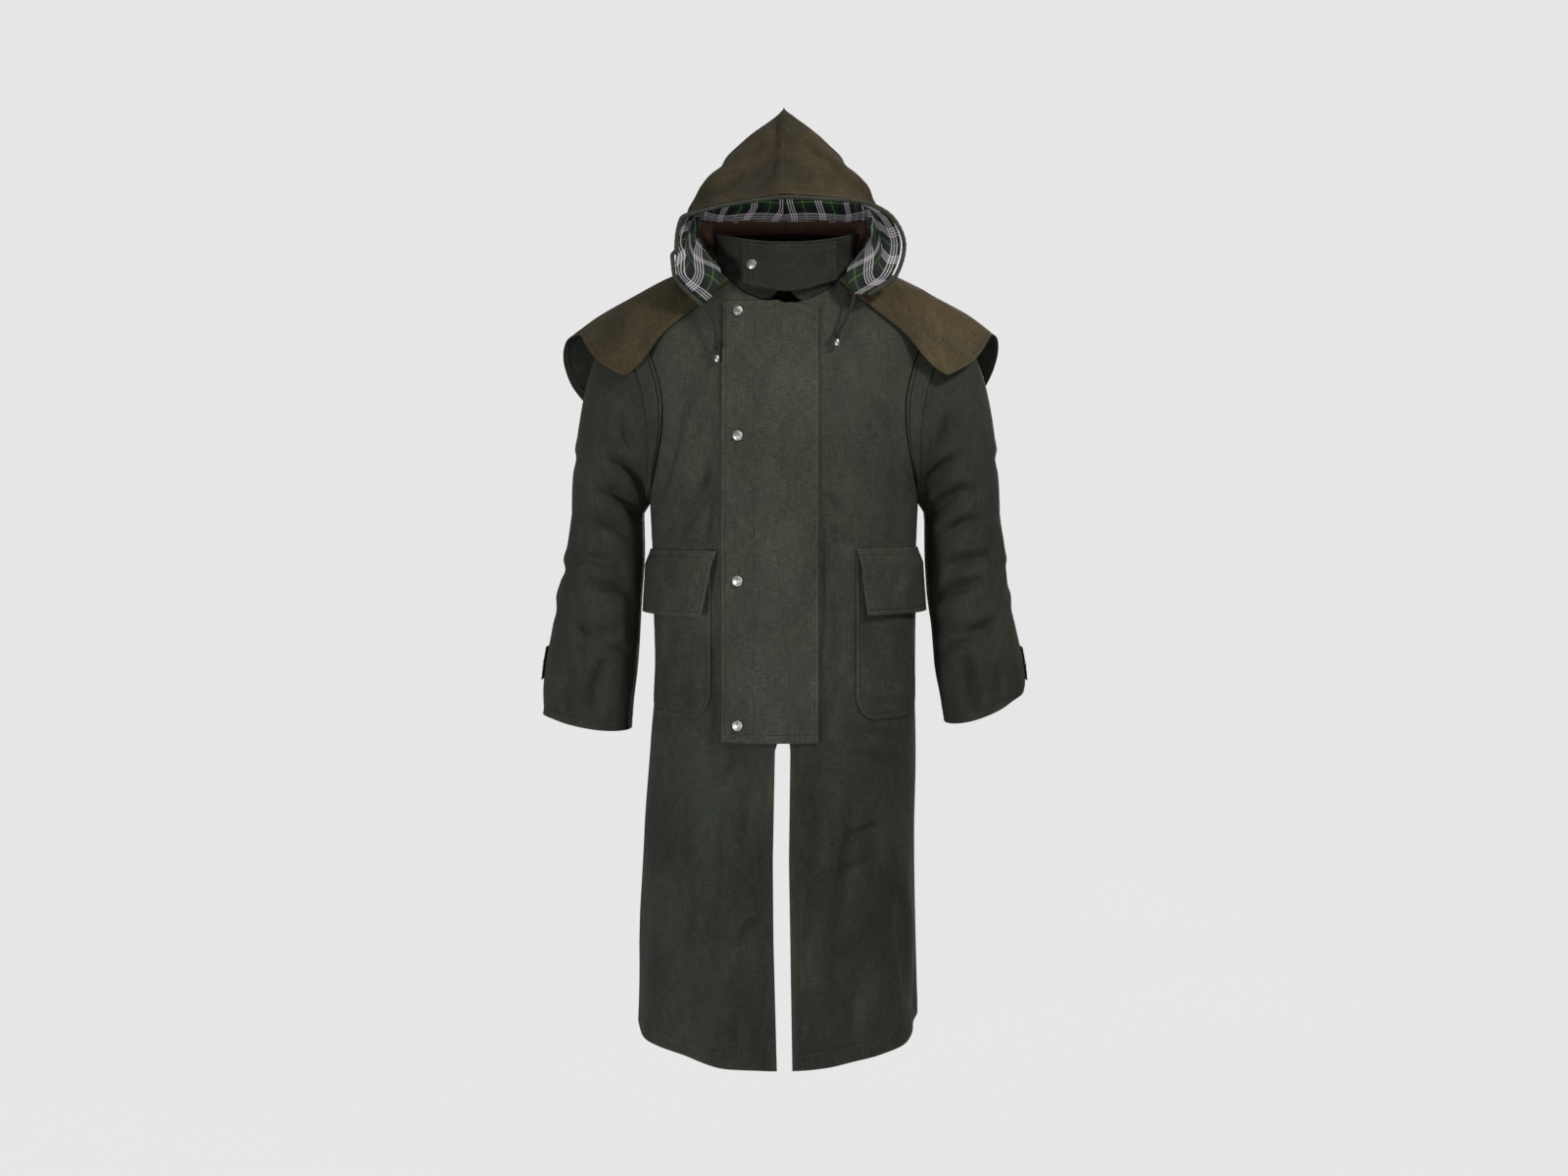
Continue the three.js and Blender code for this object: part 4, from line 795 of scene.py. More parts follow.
def swept(path, radius):
    """A round profile carried along a path, each of its two ends closed to a point. Returns vertices, quads and
    triangles, UVs."""
    count, sides = radius.shape
    _, first, second = frame_along(path)
    grid = rings_round(path, radius, first, second)
    ids = np.arange(count * sides).reshape(count, sides)
    i, j = mesh_of(np.arange(count - 1), np.arange(sides))
    i1, j1 = i + 1, (j + 1) % sides
    faces = np.stack([ids[i, j], ids[i, j1], ids[i1, j1], ids[i1, j]], axis=-1).reshape(-1, 4)
    way = way_lengths(path, 0) * MM
    around = np.arange(sides + 1) / sides * ROUND_UV
    uv = np.stack([
        np.stack([around[j], way[i]], -1), np.stack([around[j + 1], way[i]], -1),
        np.stack([around[j + 1], way[i1]], -1), np.stack([around[j], way[i1]], -1),
    ], axis=2).reshape(-1, 2)
    vertices = grid.reshape(-1, 3)
    ends = np.array([path[0], path[-1]])
    k = np.arange(sides)
    start_cap = np.stack([np.full(sides, len(vertices)), (k + 1) % sides, k], axis=-1)
    base = (count - 1) * sides
    end_cap = np.stack([np.full(sides, len(vertices) + 1), base + k, base + (k + 1) % sides], axis=-1)
    uv = np.concatenate([uv, np.zeros((6 * sides, 2))])
    return np.concatenate([vertices, ends]), faces.tolist() + start_cap.tolist() + end_cap.tolist(), uv


def swept_loop(path, radius):
    """A round profile carried round a closed path. One of its directions across the path points away from the path's
    middle, so that the last ring meets the first. Returns vertices, quads, UVs."""
    tangent = unit(np.roll(path, -1, 0) - np.roll(path, 1, 0))
    away = path - path.mean(0)
    first = unit(away - tangent * (away * tangent).sum(-1, keepdims=True))
    grid = rings_round(path, radius, first, np.cross(tangent, first))
    count, sides = radius.shape
    ids = np.arange(count * sides).reshape(count, sides)
    i, j = mesh_of(np.arange(count), np.arange(sides))
    i1, j1 = (i + 1) % count, (j + 1) % sides
    faces = np.stack([ids[i, j], ids[i1, j], ids[i1, j1], ids[i, j1]], axis=-1).reshape(-1, 4)[:, ::-1]
    return grid.reshape(-1, 3), faces, np.zeros((faces.size, 2))


def turned(profile, sides, place, direction):
    """A profile of (radius, height) turned round an axis that stands at a place and points along a direction."""
    profile = np.asarray(profile, float)
    axis = np.asarray(direction, float) / np.linalg.norm(direction)
    helper = np.array([0, 0, 1.0]) if abs(axis[2]) < 0.9 else np.array([1.0, 0, 0])
    first = np.cross(helper, axis)
    first /= np.linalg.norm(first)
    second = np.cross(axis, first)
    turn = np.arange(sides) / sides * 2 * np.pi
    ring = np.cos(turn)[:, None] * first + np.sin(turn)[:, None] * second
    rows = profile[1:-1]
    grid = place + rows[:, None, :1] * ring[None] + rows[:, None, 1:] * axis
    vertices = np.concatenate([grid.reshape(-1, 3), [place + profile[0, 1] * axis], [place + profile[-1, 1] * axis]])
    k = np.arange(sides)
    n = (k + 1) % sides
    faces = []
    for r in range(len(rows) - 1):
        faces += np.stack([r * sides + k, r * sides + n, (r + 1) * sides + n, (r + 1) * sides + k], -1).tolist()
    low, top, base = len(vertices) - 2, len(vertices) - 1, (len(rows) - 1) * sides
    faces += np.stack([np.full(sides, low), n, k], -1).tolist()
    faces += np.stack([np.full(sides, top), base + k, base + n], -1).tolist()
    return vertices, faces


# Materials


class Shader:
    """A material's nodes, wired by short calls."""

    def __init__(self, name):
        self.material = bpy.data.materials.new(name)
        self.material.use_nodes = True
        self.tree = self.material.node_tree
        self.skin = self.tree.nodes["Principled BSDF"]

    def add(self, kind, inputs=None, **settings):
        """A new node; each input is a value or another node's socket."""
        node = self.tree.nodes.new(kind)
        for key, value in settings.items():
            setattr(node, key, value)
        for key, value in (inputs or {}).items():
            if isinstance(value, bpy.types.NodeSocket):
                self.tree.links.new(value, node.inputs[key])
            else:
                node.inputs[key].default_value = value
        return node

    def math(self, operation, a, b=0.0, c=0.0, clamp=False):
        """One sum of up to three values."""
        return self.add("ShaderNodeMath", {0: a, 1: b, 2: c}, operation=operation, use_clamp=clamp).outputs[0]

    def scale(self, colour, factor):
        """A colour times a factor."""
        return self.add("ShaderNodeVectorMath", {0: colour, "Scale": factor}, operation="SCALE").outputs[0]

    def blend(self, factor, a, b):
        """The mean of two colours, weighed by a factor: all of the first at 0 and all of the second at 1."""
        node = self.add("ShaderNodeMix", data_type="RGBA")
        for key, value in ((0, factor), (6, a), (7, b)):
            if isinstance(value, bpy.types.NodeSocket):
                self.tree.links.new(value, node.inputs[key])
            else:
                node.inputs[key].default_value = value if key == 0 else (*value, 1)
        return node.outputs[2]

    def noise(self, vector, scale, detail=3.0, rough=0.55, stretch=(1, 1, 1)):
        """Noise at a scale, finer along the axes with a large stretch."""
        placed = self.add("ShaderNodeMapping", {"Vector": vector, "Scale": stretch}).outputs[0]
        return self.add(
            "ShaderNodeTexNoise", {"Vector": placed, "Scale": scale, "Detail": detail, "Roughness": rough}
        ).outputs[0]

    def span(self, value, from_low, from_high, low, high):
        """A value's way from one level to another, laid out straight between two others and held at their ends."""
        return self.add(
            "ShaderNodeMapRange",
            {"Value": value, "From Min": from_low, "From Max": from_high, "To Min": low, "To Max": high},
        ).outputs[0]

    def set(self, socket, value):
        """Gives one of the surface's inputs a value or another node's socket."""
        if isinstance(value, bpy.types.NodeSocket):
            self.tree.links.new(value, self.skin.inputs[socket])
        else:
            self.skin.inputs[socket].default_value = value

    def bump(self, height, strength, distance):
        """Tilts the surface's normals by the slope of a height."""
        node = self.add("ShaderNodeBump", {"Strength": strength, "Distance": distance, "Height": height})
        self.tree.links.new(node.outputs[0], self.skin.inputs["Normal"])


def waxed_cotton(name, high, low, cast, cast_amount, z_low=-0.9, z_high=-0.2, mottle=0.2, painted_right_shade=1.0):
    """Waxed cotton: fine yarns both ways with slubs and long streaks, a colour that deepens towards the hem, patches
    where the wax has bloomed or warmed, pale veins and fine crumples where a noise crosses its middle, a painted
    shade that darkens the wearer's right side, pale wear on edges and a low gloss. All shades are multiplied
    together."""
    sh = Shader(name)
    coordinates = sh.add("ShaderNodeTexCoord").outputs
    uv, place = coordinates["UV"], coordinates["Object"]
    parts = sh.add("ShaderNodeSeparateXYZ", {0: place}).outputs
    weft, warp, grain, slubs, streaks = (
        sh.noise(uv, 1, 3, 0.6, (across, along, 1))
        for across, along in ((85, 1050), (1050, 95), (620, 620), (46, 520), (560, 26))
    )
    yarns = sh.math("ADD", sh.math("MULTIPLY", weft, 0.62), sh.math("MULTIPLY", warp, 0.38))
    patches = sh.noise(place, 5.5, 4, 0.62)
    cloudy = sh.noise(place, 17, 4, 0.65, (1, 1, 0.5))
    folds = sh.noise(place, 15, 3, 0.5, (1, 1, 0.7))
    veins = sh.math("ABSOLUTE", sh.math("SUBTRACT", sh.noise(place, 26, 4, 0.6, (1, 1, 0.6)), 0.5))
    base = sh.blend(sh.span(parts[2], z_low, z_high, 0, 1), low, high)
    warm = sh.math("MULTIPLY", sh.span(patches, 0.44, 0.62, 0, 1), cast_amount, clamp=True)
    base = sh.blend(warm, base, cast)
    shade = sh.span(yarns, 0.36, 0.64, 0.55, 1.5)
    # The last factor is painted shade: cloth on the wearer's right, away from the key light, is darkened by the given
    # share.
    for factor in (
        sh.span(cloudy, 0.3, 0.7, 1 - mottle, 1 + mottle), sh.span(grain, 0.34, 0.66, 0.80, 1.22),
        sh.span(slubs, 0.35, 0.68, 0.90, 1.14), sh.span(streaks, 0.35, 0.66, 0.84, 1.2),
        sh.span(veins, 0.0, 0.014, 1.16, 1.0), sh.span(parts[0], -0.09, 0.05, painted_right_shade, 1.0),
    ):
        shade = sh.math("MULTIPLY", shade, factor)
    wear = sh.add("ShaderNodeAttribute", attribute_name="wear").outputs["Fac"]
    rubbed = sh.math("MULTIPLY", wear, sh.span(cloudy, 0.35, 0.7, 0.08, 0.5), clamp=True)
    pale = tuple(min(1.0, c * 1.9 + 0.004) for c in high)
    sh.set("Base Color", sh.blend(rubbed, sh.scale(base, shade), pale))
    gloss = sh.span(cloudy, 0.3, 0.72, 0.86, 0.74)
    sh.set("Roughness", sh.math("ADD", gloss, sh.span(yarns, 0.35, 0.65, 0.05, -0.05)))
    sh.set("Specular IOR Level", 0.1)
    fibres = sh.math("ADD", sh.math("MULTIPLY", yarns, 0.16), sh.math("MULTIPLY", grain, 0.06))
    crumple = sh.math("POWER", sh.math("ABSOLUTE", sh.math("SUBTRACT", folds, 0.5)), 0.8)
    sh.bump(sh.math("ADD", fibres, crumple), 0.7, 0.0085)
    return sh.material


def plaid_flannel(name, colours, repeat):
    """Brushed plaid: each yarn way has its own colour sequence over one repeat, and the cloth is the mean of the two,
    broken by the twill and painted lighter deeper in the hood, as painted light where its inside lies in shade.
    The sequence is ground, a green band with a lime line down its middle, ground and a group of white lines, four
    in one way and three in the other."""
    sh = Shader(name)
    coordinates = sh.add("ShaderNodeTexCoord").outputs
    uv = coordinates["UV"]
    parts = sh.add("ShaderNodeSeparateXYZ", {0: uv}).outputs
    ground, green, white, lime = (
        (*getattr(colours, key), 1) for key in ("plaid_ground", "plaid_green", "plaid_white", "plaid_lime")
    )
    band = [(0.0, ground), (0.11, ground), (0.15, green), (0.27, green), (0.30, lime), (0.33, green), (0.45, green)]
    half = PLAID_LINE_PITCH * PLAID_LINE_HALF
    ways = []
    for part, count, phase in zip(parts, PLAID_LINES, PLAID_PHASES):
        stops = [*band, (0.49, ground)]
        for line in range(count):
            middle = PLAID_LINES_AT + (line - (count - 1) / 2) * PLAID_LINE_PITCH
            stops += [(middle - half, ground), (middle, white), (middle + half, ground)]
        share = sh.math("FRACT", sh.math("MULTIPLY_ADD", part, 1 / repeat, phase))
        ramp = sh.add("ShaderNodeValToRGB", {0: share})
        elements = ramp.color_ramp.elements
        for element, stop in zip(elements, stops):
            element.position, element.color = stop
        for position, colour in stops[len(elements):]:
            elements.new(position).color = colour
        ways.append(ramp.outputs[0])
    slant = sh.math("ADD", parts[0], parts[1])
    twill = sh.math("SINE", sh.math("MULTIPLY", slant, 2 * math.pi / TWILL_PITCH))
    fuzz = sh.noise(uv, 900, 3, 0.6)
    share = sh.math("ADD", sh.math("MULTIPLY", twill, 0.16), sh.span(fuzz, 0.3, 0.7, 0.38, 0.62))
    woven = sh.blend(share, *ways)
    # Painted light: the plaid is made up to 4.2 times brighter deeper in the hood, where its inside lies in shade.
    depth = sh.add("ShaderNodeSeparateXYZ", {0: coordinates["Object"]}).outputs[1]
    sh.set("Base Color", sh.scale(woven, sh.span(depth, -0.055, 0.03, 1.0, 4.2)))
    sh.set("Roughness", 0.92)
    sh.set("Specular IOR Level", 0.1)
    sh.set("Sheen Weight", 0.03)
    sh.bump(sh.math("ADD", sh.math("MULTIPLY", twill, 0.3), fuzz), 0.5, 0.0008)
    return sh.material


def plain_lining(name, colour):
    """Plain dark lining with a fine crosswise rib and a faint unevenness."""
    sh = Shader(name)
    uv = sh.add("ShaderNodeTexCoord").outputs["UV"]
    rib = sh.noise(uv, 1, 2, 0.5, (180, 1600, 1))
    cloud = sh.noise(uv, 22, 3)
    shade = sh.math("MULTIPLY", sh.span(rib, 0.3, 0.7, 0.8, 1.2), sh.span(cloud, 0.3, 0.7, 0.8, 1.2))
    sh.set("Base Color", sh.scale(colour, shade))
    sh.set("Roughness", 0.85)
    sh.set("Specular IOR Level", 0.08)
    sh.bump(rib, 0.4, 0.0005)
    return sh.material


def sewing_thread(name, colour):
    """Twisted thread: fine slanting shade along it."""
    sh = Shader(name)
    place = sh.add("ShaderNodeTexCoord").outputs["Object"]
    twist = sh.noise(place, 2600, 1)
    sh.set("Base Color", sh.scale(colour, sh.span(twist, 0.3, 0.7, 0.7, 1.3)))
    sh.set("Roughness", 0.75)
    sh.set("Specular IOR Level", 0.15)
    sh.bump(twist, 0.4, 0.0003)
    return sh.material


def braided_cord(name, colour):
    """Cord yarn: dark, with paler fibres standing out of it."""
    sh = Shader(name)
    place = sh.add("ShaderNodeTexCoord").outputs["Object"]
    fibre = sh.noise(place, 1400, 3, 0.7)
    sh.set("Base Color", sh.scale(colour, sh.span(fibre, 0.3, 0.75, 0.6, 2.2)))
    sh.set("Roughness", 0.85)
    sh.set("Specular IOR Level", 0.12)
    sh.bump(fibre, 0.5, 0.0005)
    return sh.material


def worn_nickel(name, colour):
    """Plated stud metal: a soft mirror with fine scratches and duller clouds."""
    sh = Shader(name)
    place = sh.add("ShaderNodeTexCoord").outputs["Object"]
    cloud = sh.noise(place, 260, 3)
    scratch = sh.noise(place, 900, 2, 0.5, (1, 1, 9))
    sh.set("Base Color", sh.scale(colour, sh.span(cloud, 0.3, 0.7, 0.78, 1.1)))
    sh.set("Metallic", 1.0)
    sh.set("Roughness", sh.math("ADD", sh.span(cloud, 0.3, 0.7, 0.38, 0.46), sh.span(scratch, 0.4, 0.6, -0.02, 0.02)))
    sh.bump(scratch, 0.02, 0.0001)
    return sh.material


def material(key):
    """The coat's materials, each made once and then found again by its name."""
    c = bpy.context.scene.coat_colours
    sizes = bpy.context.scene.coat_sizes

    def shaded(colour, shade):
        """A colour made darker or lighter."""
        return tuple(x * shade for x in colour)

    def green_cotton(n, shade, lowest=-0.9):
        """The green cotton in one shade, at its darkest at the height lowest. Shades other than 1 make lit and
        shaded copies of it: painted light on the storm flap, painted shade on the sleeves and the collar.
        """
        tones = (shaded(tone, shade) for tone in (c.green, c.green_dark, c.brown_shade))
        return waxed_cotton(n, *tones, 0.42, lowest)

    def olive_cotton(n):
        """The olive cotton: darker on the hood than on the cape, with rust patches, more mottle and painted shade on
        the wearer's right.
        """
        tones = shaded(c.olive, 0.55), shaded(c.olive, 0.86), tuple(c.rust)
        return waxed_cotton(n, *tones, 0.7, -0.09, 0.05, 0.36, 0.7)

    makers = {
        "green": ("green_waxed_cotton_cloth", lambda n: green_cotton(n, 1.0)),
        # painted light: the flap's copy is lighter than the body's cloth and darkens less towards its foot
        "flap": ("green_waxed_cotton_flap", lambda n: green_cotton(n, 1.13, -3.4)),
        # painted shade: the sleeves' copy is darker; the armhole strips, cuff straps and the back cape's inner skin
        # use it too
        "sleeve": ("green_waxed_cotton_sleeves", lambda n: green_cotton(n, 0.69, -1.5)),
        # painted shade: the collar's copy is darker, for the hood's shadow over the collar and throat tab
        "collar": ("green_waxed_cotton_collar", lambda n: green_cotton(n, 0.43)),
        "olive": ("olive_waxed_cotton_cloth", olive_cotton),
        "plaid": ("plaid_flannel_lining", lambda n: plaid_flannel(n, c, sizes.plaid_repeat)),
        "neck": ("plain_neck_lining", lambda n: plain_lining(n, tuple(c.neck_brown))),
        "thread": ("green_sewing_thread", lambda n: sewing_thread(n, shaded(c.green, 0.72))),
        "olive_thread": ("olive_sewing_thread", lambda n: sewing_thread(n, shaded(c.olive, 0.55))),
        "cord": ("braided_cord_yarn", lambda n: braided_cord(n, tuple(c.cord))),
        "metal": ("worn_nickel", lambda n: worn_nickel(n, tuple(c.metal))),
    }
    name, make = makers[key]
    found = bpy.data.materials.get(name)
    return make(name) if found is None else found


def hand_of(word):
    """1 for the wearer's left, which is +X, and -1 for the right."""
    return 1 if word == "left" else -1


# Body


def panel_rows():
    """Places up the body for a panel's rows: even up to the underarm, close beside the armhole's ends, then even."""
    hem = bpy.context.scene.coat_sizes.hem_depth / MM
    skirt = np.linspace(0, UNDERARM_AT, 190, endpoint=False)
    beside = TIP_AT + (UNDERARM_AT - TIP_AT) * (1 + np.cos(np.linspace(0, np.pi, 72))) / 2
    shoulder = np.linspace(TIP_AT, NECK_AT, 30)[1:]
    hem_lines = [EDGE_WIDTH, *(hem + d for d in SEAM_LINES), NECK_AT - EDGE_WIDTH]
    return np.unique(np.concatenate([skirt, beside, shoulder, hem_lines]))


def body_panel(word, on_front):
    """A quarter of the body, as a function of the way across it and the place up it: from a centre edge to the side
    seam, the armhole and the shoulder seam."""
    hand = hand_of(word)
    edges = FRONT_EDGES if on_front else BACK_EDGES
    edge_x = edges[:, 2] if hand > 0 else edges[:, 1]
    rows = panel_rows()
    us = spaced(62, 320, (0.05, 0.965))
    u, at = mesh_of(us, rows)
    sec = section(BODY_RINGS, at)
    inner = angle_at_x(sec, np.interp(sec["front" if on_front else "back"], edges[:, 0], edge_x), on_front)
    if not on_front and hand < 0:
        inner = inner - 2 * np.pi
    room = SEAM / 2 / sec["half"]
    away = hand * (np.pi / 2 + (-1 if on_front else 1) * (armhole_spread(at) + room))
    return Cloth(body_points(mix(inner, away, u), at), hand * (1 if on_front else -1)), us, rows


def dress_panel(word, on_front):
    """Creases, cockling and sewn lines of a body panel, and the piece itself with its stitching. The relief is calm
    at the panel's edges, and on a front also at the pocket's height and under the storm flap; nothing rises there
    into the pieces that lie on it."""
    cloth, us, rows = body_panel(word, on_front)
    x, z = cloth.points[..., 0], cloth.points[..., 2]
    depth = creases(x, z, FRONT_CREASES if on_front else BACK_CREASES)
    seed = (1 if on_front else 3) + (word == "left")
    calm = ease(np.abs(z + 560), 60, 320) if on_front else 1.0
    depth += np.maximum(cockle(x, z, 1.5, seed) * (0.35 + 0.65 * calm), -0.4)
    across = way_lengths(cloth.points, 0)
    free = ease(across, 4, 40) * ease(across[-1:] - across, 3, 34)
    free = free * (1 - ease(rows, TIP_AT - 130, TIP_AT - 10)[None, :])
    depth = np.maximum(depth, -1.6 - 4 * (z < -760))
    if on_front:
        beside_flap, below_flap = ease(np.abs(x + 20), 62, 84), 1 - ease(z, -730, -716)
        free = free * np.maximum(beside_flap, below_flap)
        under_pocket = (np.abs(x) > 90) & (z > -696) & (z < -424)
        depth = np.where(under_pocket, np.maximum(depth, 0), depth)
    cloth.press(depth * free)
    hem = bpy.context.scene.coat_sizes.hem_depth / MM
    centre = 0.05
    cloth.sew(us, rows, u_lines=(centre,), v_lines=(hem,), deep=0.5, pucker=0.35 if on_front else 0.5)
    cloth.wear += 0.25 * np.clip(depth / 4 - 0.4, 0, 1)
    view = "front" if on_front else "back"
    name = f"{view}_{word}"
    piece = cloth_piece(f"{word}_{view}_panel", cloth, CLOTH, material("green"), [name])
    skirt_end = 720 if on_front else 760
    lines = [
        cloth.row(us, rows, v=hem, start=0.01, end=0.99, count=900),
        cloth.row(us, rows, u=centre, start=0, end=skirt_end, count=1200),
    ]
    if not on_front:
        lines.append(cloth.row(us, rows, u=0.02, start=skirt_end - 300, end=NECK_AT - 160, count=900))
    sewing = stitches(f"{word}_{view}_stitching", lines, material("thread"))


# Sleeves


def fold_sleeve(points, turn, height, hand):
    """Presses the sleeve's long folds in, towards its middle."""
    depth = fold_depth(SLEEVE_FOLDS, turn, height)
    push = np.stack([-hand * np.cos(turn), np.sin(turn), np.zeros_like(turn)], axis=-1)
    return points + push * depth[..., None]


def arm_points(word, turn, at):
    """The arm below its first level ring: a superellipse between the inner and outer edges at each place down it."""
    hand = hand_of(word)
    table = SLEEVES[word]
    inner, outer, low, high, middle, fore, aft = np.moveaxis(smooth(np.arange(len(table)), table, at), -1, 0)
    half = (outer - inner) / 2
    depth = np.where(np.sin(turn) >= 0, fore, aft)
    across, along = np.abs(np.cos(turn)) / half, np.abs(np.sin(turn)) / depth
    reach = (across ** SLEEVE_SQUARE + along ** SLEEVE_SQUARE) ** (-1 / SLEEVE_SQUARE)
    height = mix(low, high, ((1 + np.cos(turn)) / 2) ** 1.5)
    points = np.stack([hand * (inner + half + reach * np.cos(turn)), middle - reach * np.sin(turn), height], axis=-1)
    return fold_sleeve(points, turn, height, hand)


def head_points(word, turn, t):
    """The sleeve head: a bow from the armhole, by a point out past the shoulder, to the arm's first ring."""
    hand = hand_of(word)
    at = TIP_AT + (UNDERARM_AT - TIP_AT) * (1 - np.cos(turn)) / 2
    forward = np.where(np.sin(turn) >= 0, -1, 1)
    spread = np.maximum(0, armhole_spread(at) - SEAM / 100) * forward
    start = body_points(hand * (np.pi / 2 + spread), at)
    shrink = np.stack([
        np.full(at.shape, hand * 2 * SEAM), np.where(start[..., 1] > 0, -SEAM, SEAM) * 0.8,
        np.where(at > 1000, -SEAM * 2, SEAM * 2) * 0.8,
    ], axis=-1)
    start = start + shrink
    end = arm_points(word, turn, np.zeros_like(turn))
    outerness = (1 + np.cos(turn)) / 2
    bow = np.stack([
        hand * mix(CAP_IN, CAP_OUT[word], outerness ** 0.8),
        start[..., 1] * 0.3 + end[..., 1] * 0.7 - CAP_FULLNESS * np.sin(turn),
        mix(CAP_BOTTOM, CAP_TOP, outerness),
    ], axis=-1)
    t = t[..., None]
    return start * (1 - t) ** 2 + bow * 2 * t * (1 - t) + end * t * t


def sleeve_points(word, u, v):
    """The whole sleeve: u is the turn from the shoulder by the front, v is 0 at the armhole and 1 at the cuff."""
    turn = u * 2 * np.pi
    turn, v = np.broadcast_arrays(turn, v)
    head = head_points(word, turn, np.clip(v * 2, 0, 1))
    arm = arm_points(word, turn, np.clip(v * 2 - 1, 0, 1) * (len(SLEEVES[word]) - 1))
    return np.where((v < 0.5)[..., None], head, arm)


def sleeve_share(word, height):
    """How far down the sleeve its outer edge has that height."""
    v = np.linspace(0.5, 1, 600)
    z = sleeve_points(word, np.zeros_like(v), v)[..., 2]
    return float(np.interp(-height, -z, v))


def dress_sleeve(word):
    """A sleeve with its elbow and armpit creases, the armhole strip laid over its seam and the strap on its cuff."""
    hand = hand_of(word)
    us = np.arange(112) / 112
    cuff = 1 - 0.0333
    beside_cuff = cuff + np.array([-3, -1.2, 0, 1.2, 3]) / SLEEVE_LENGTH
    vs = np.unique(np.concatenate([
        np.linspace(0, 0.5, 46), np.linspace(0.5, 1, 100), [0.0012, 1 - 0.0013], beside_cuff,
    ]))
    u, v = mesh_of(us, vs)
    cloth = Cloth(sleeve_points(word, u, v), hand, closed=True)
    x, y, z = np.moveaxis(cloth.points, -1, 0)
    depth = creases(x, z, SLEEVE_CREASES, hand, 3.2) * cloth.facing(1, -1)
    depth += creases(x, z, SLEEVE_BACK_CREASES, hand, 3.0) * cloth.facing(1, 1)
    depth += creases(y, z, SLEEVE_SIDE_CREASES) * cloth.facing(0, hand)
    depth += cockle(x + y, z, 1.5, 11 + hand)
    on_strip = 1 - ease(v, 0.085, 0.12)
    under_tab = (u > 0.66) & (z < -560)
    free = (1 - 0.92 * on_strip) * ease(1 - v, 0, 0.02) * ease(v, 0.0, 0.03)
    depth = np.maximum(depth, np.where(under_tab, -0.2, -2.4))
    depth = np.where(x * hand < 216, np.maximum(depth, 0), depth)
    cloth.press(depth * free)
    cloth.sew(us, vs, v_lines=(cuff,), deep=0.5, pucker=0.4)
    # The sleeve material is a darker copy of the green cotton, painted shade; the strip and strap below use it too.
    piece = cloth_piece(f"{word}_sleeve", cloth, CLOTH, material("sleeve"), [f"sleeve_{word}"])
    lines = [cloth.row(us, vs, v=cuff, start=0.01, end=0.985, count=700)]

    strip_us = np.unique(np.concatenate([np.linspace(0, 1, 150), [0.002, 0.998]]))
    strip_vs = spaced(11, 24, (0.15, 0.85))
    su, sv = mesh_of(strip_us, strip_vs)
    strip = Cloth(sleeve_points(word, mix(-STRIP_REACH, STRIP_REACH, su), mix(*STRIP_SHARES, sv) / 2), hand)
    strip_lines = (0.15, 0.85)
    strip.sew(strip_us, strip_vs, v_lines=strip_lines, deep=0.35, pucker=0.22)
    lift = 2 * LAID_ON + STRIP_THICK
    band = cloth_piece(
        f"{word}_armhole_strip", strip, STRIP_THICK, material("sleeve"),
        [f"armhole_strip_{word}"], lift,
    )
    for share in strip_lines:
        lines.append(strip.row(strip_us, strip_vs, v=share, start=0.01, end=0.99, count=500, lift=lift))

    top, bottom = sleeve_share(word, CUFF_TAB["high"]), sleeve_share(word, CUFF_TAB["low"])
    tab_us, tab_vs = spaced(40, 110, (0.06, 0.94)), spaced(20, 50, (0.12, 0.88))
    tu, tv = mesh_of(tab_us, tab_vs)
    turn = (mix(CUFF_TAB["from"], CUFF_TAB["to"], tu) / 360 + 1) % 1
    tab = Cloth(sleeve_points(word, turn, mix(top, bottom, tv)), -hand)
    tab.sew(tab_us, tab_vs, u_lines=(0.06, 0.94), v_lines=(0.12, 0.88), deep=0.35, pucker=0.2)
    tab_lift = CUFF_TAB_ROOM + CLOTH
    strap = cloth_piece(
        f"{word}_cuff_strap", tab, CLOTH, material("sleeve"), [f"cuff_tab_{word}"], tab_lift
    )
    for line in ({"v": 0.12}, {"v": 0.88}, {"u": 0.06}, {"u": 0.94}):
        lines.append(tab.row(tab_us, tab_vs, start=0.07, end=0.93, count=120, lift=tab_lift, **line))
    sewing = stitches(f"{word}_sleeve_stitching", lines, material("thread"))
    place, normal = tab.read(tab_us, tab_vs, np.array([0.16]), np.array([0.5]))
    make_stud(f"{word}_cuff_press_stud", place[0] + normal[0] * (tab_lift + SEAM), normal[0], f"cuff_stud_{word}")


def make_stud(name, place, direction, node):
    """A press stud's cap: a rolled rim, a shallow groove inside it and a low dome, turned about its axis."""
    r, h = STUD_RADIUS, STUD_RISE
    shares = (
        (0, 0), (0.90, 0), (0.985, 0.10), (1, 0.26), (0.985, 0.42), (0.94, 0.53), (0.885, 0.56), (0.83, 0.53),
        (0.79, 0.545), (0.70, 0.67), (0.56, 0.80), (0.40, 0.90), (0.2, 0.965), (0, 0.985),
    )
    profile = [(r * across, h * up) for across, up in shares]
    vertices, faces = turned(profile, 40, place, direction)
    return make_piece(name, vertices, faces, material("metal"), [node])


# Pockets, storm flap and collar


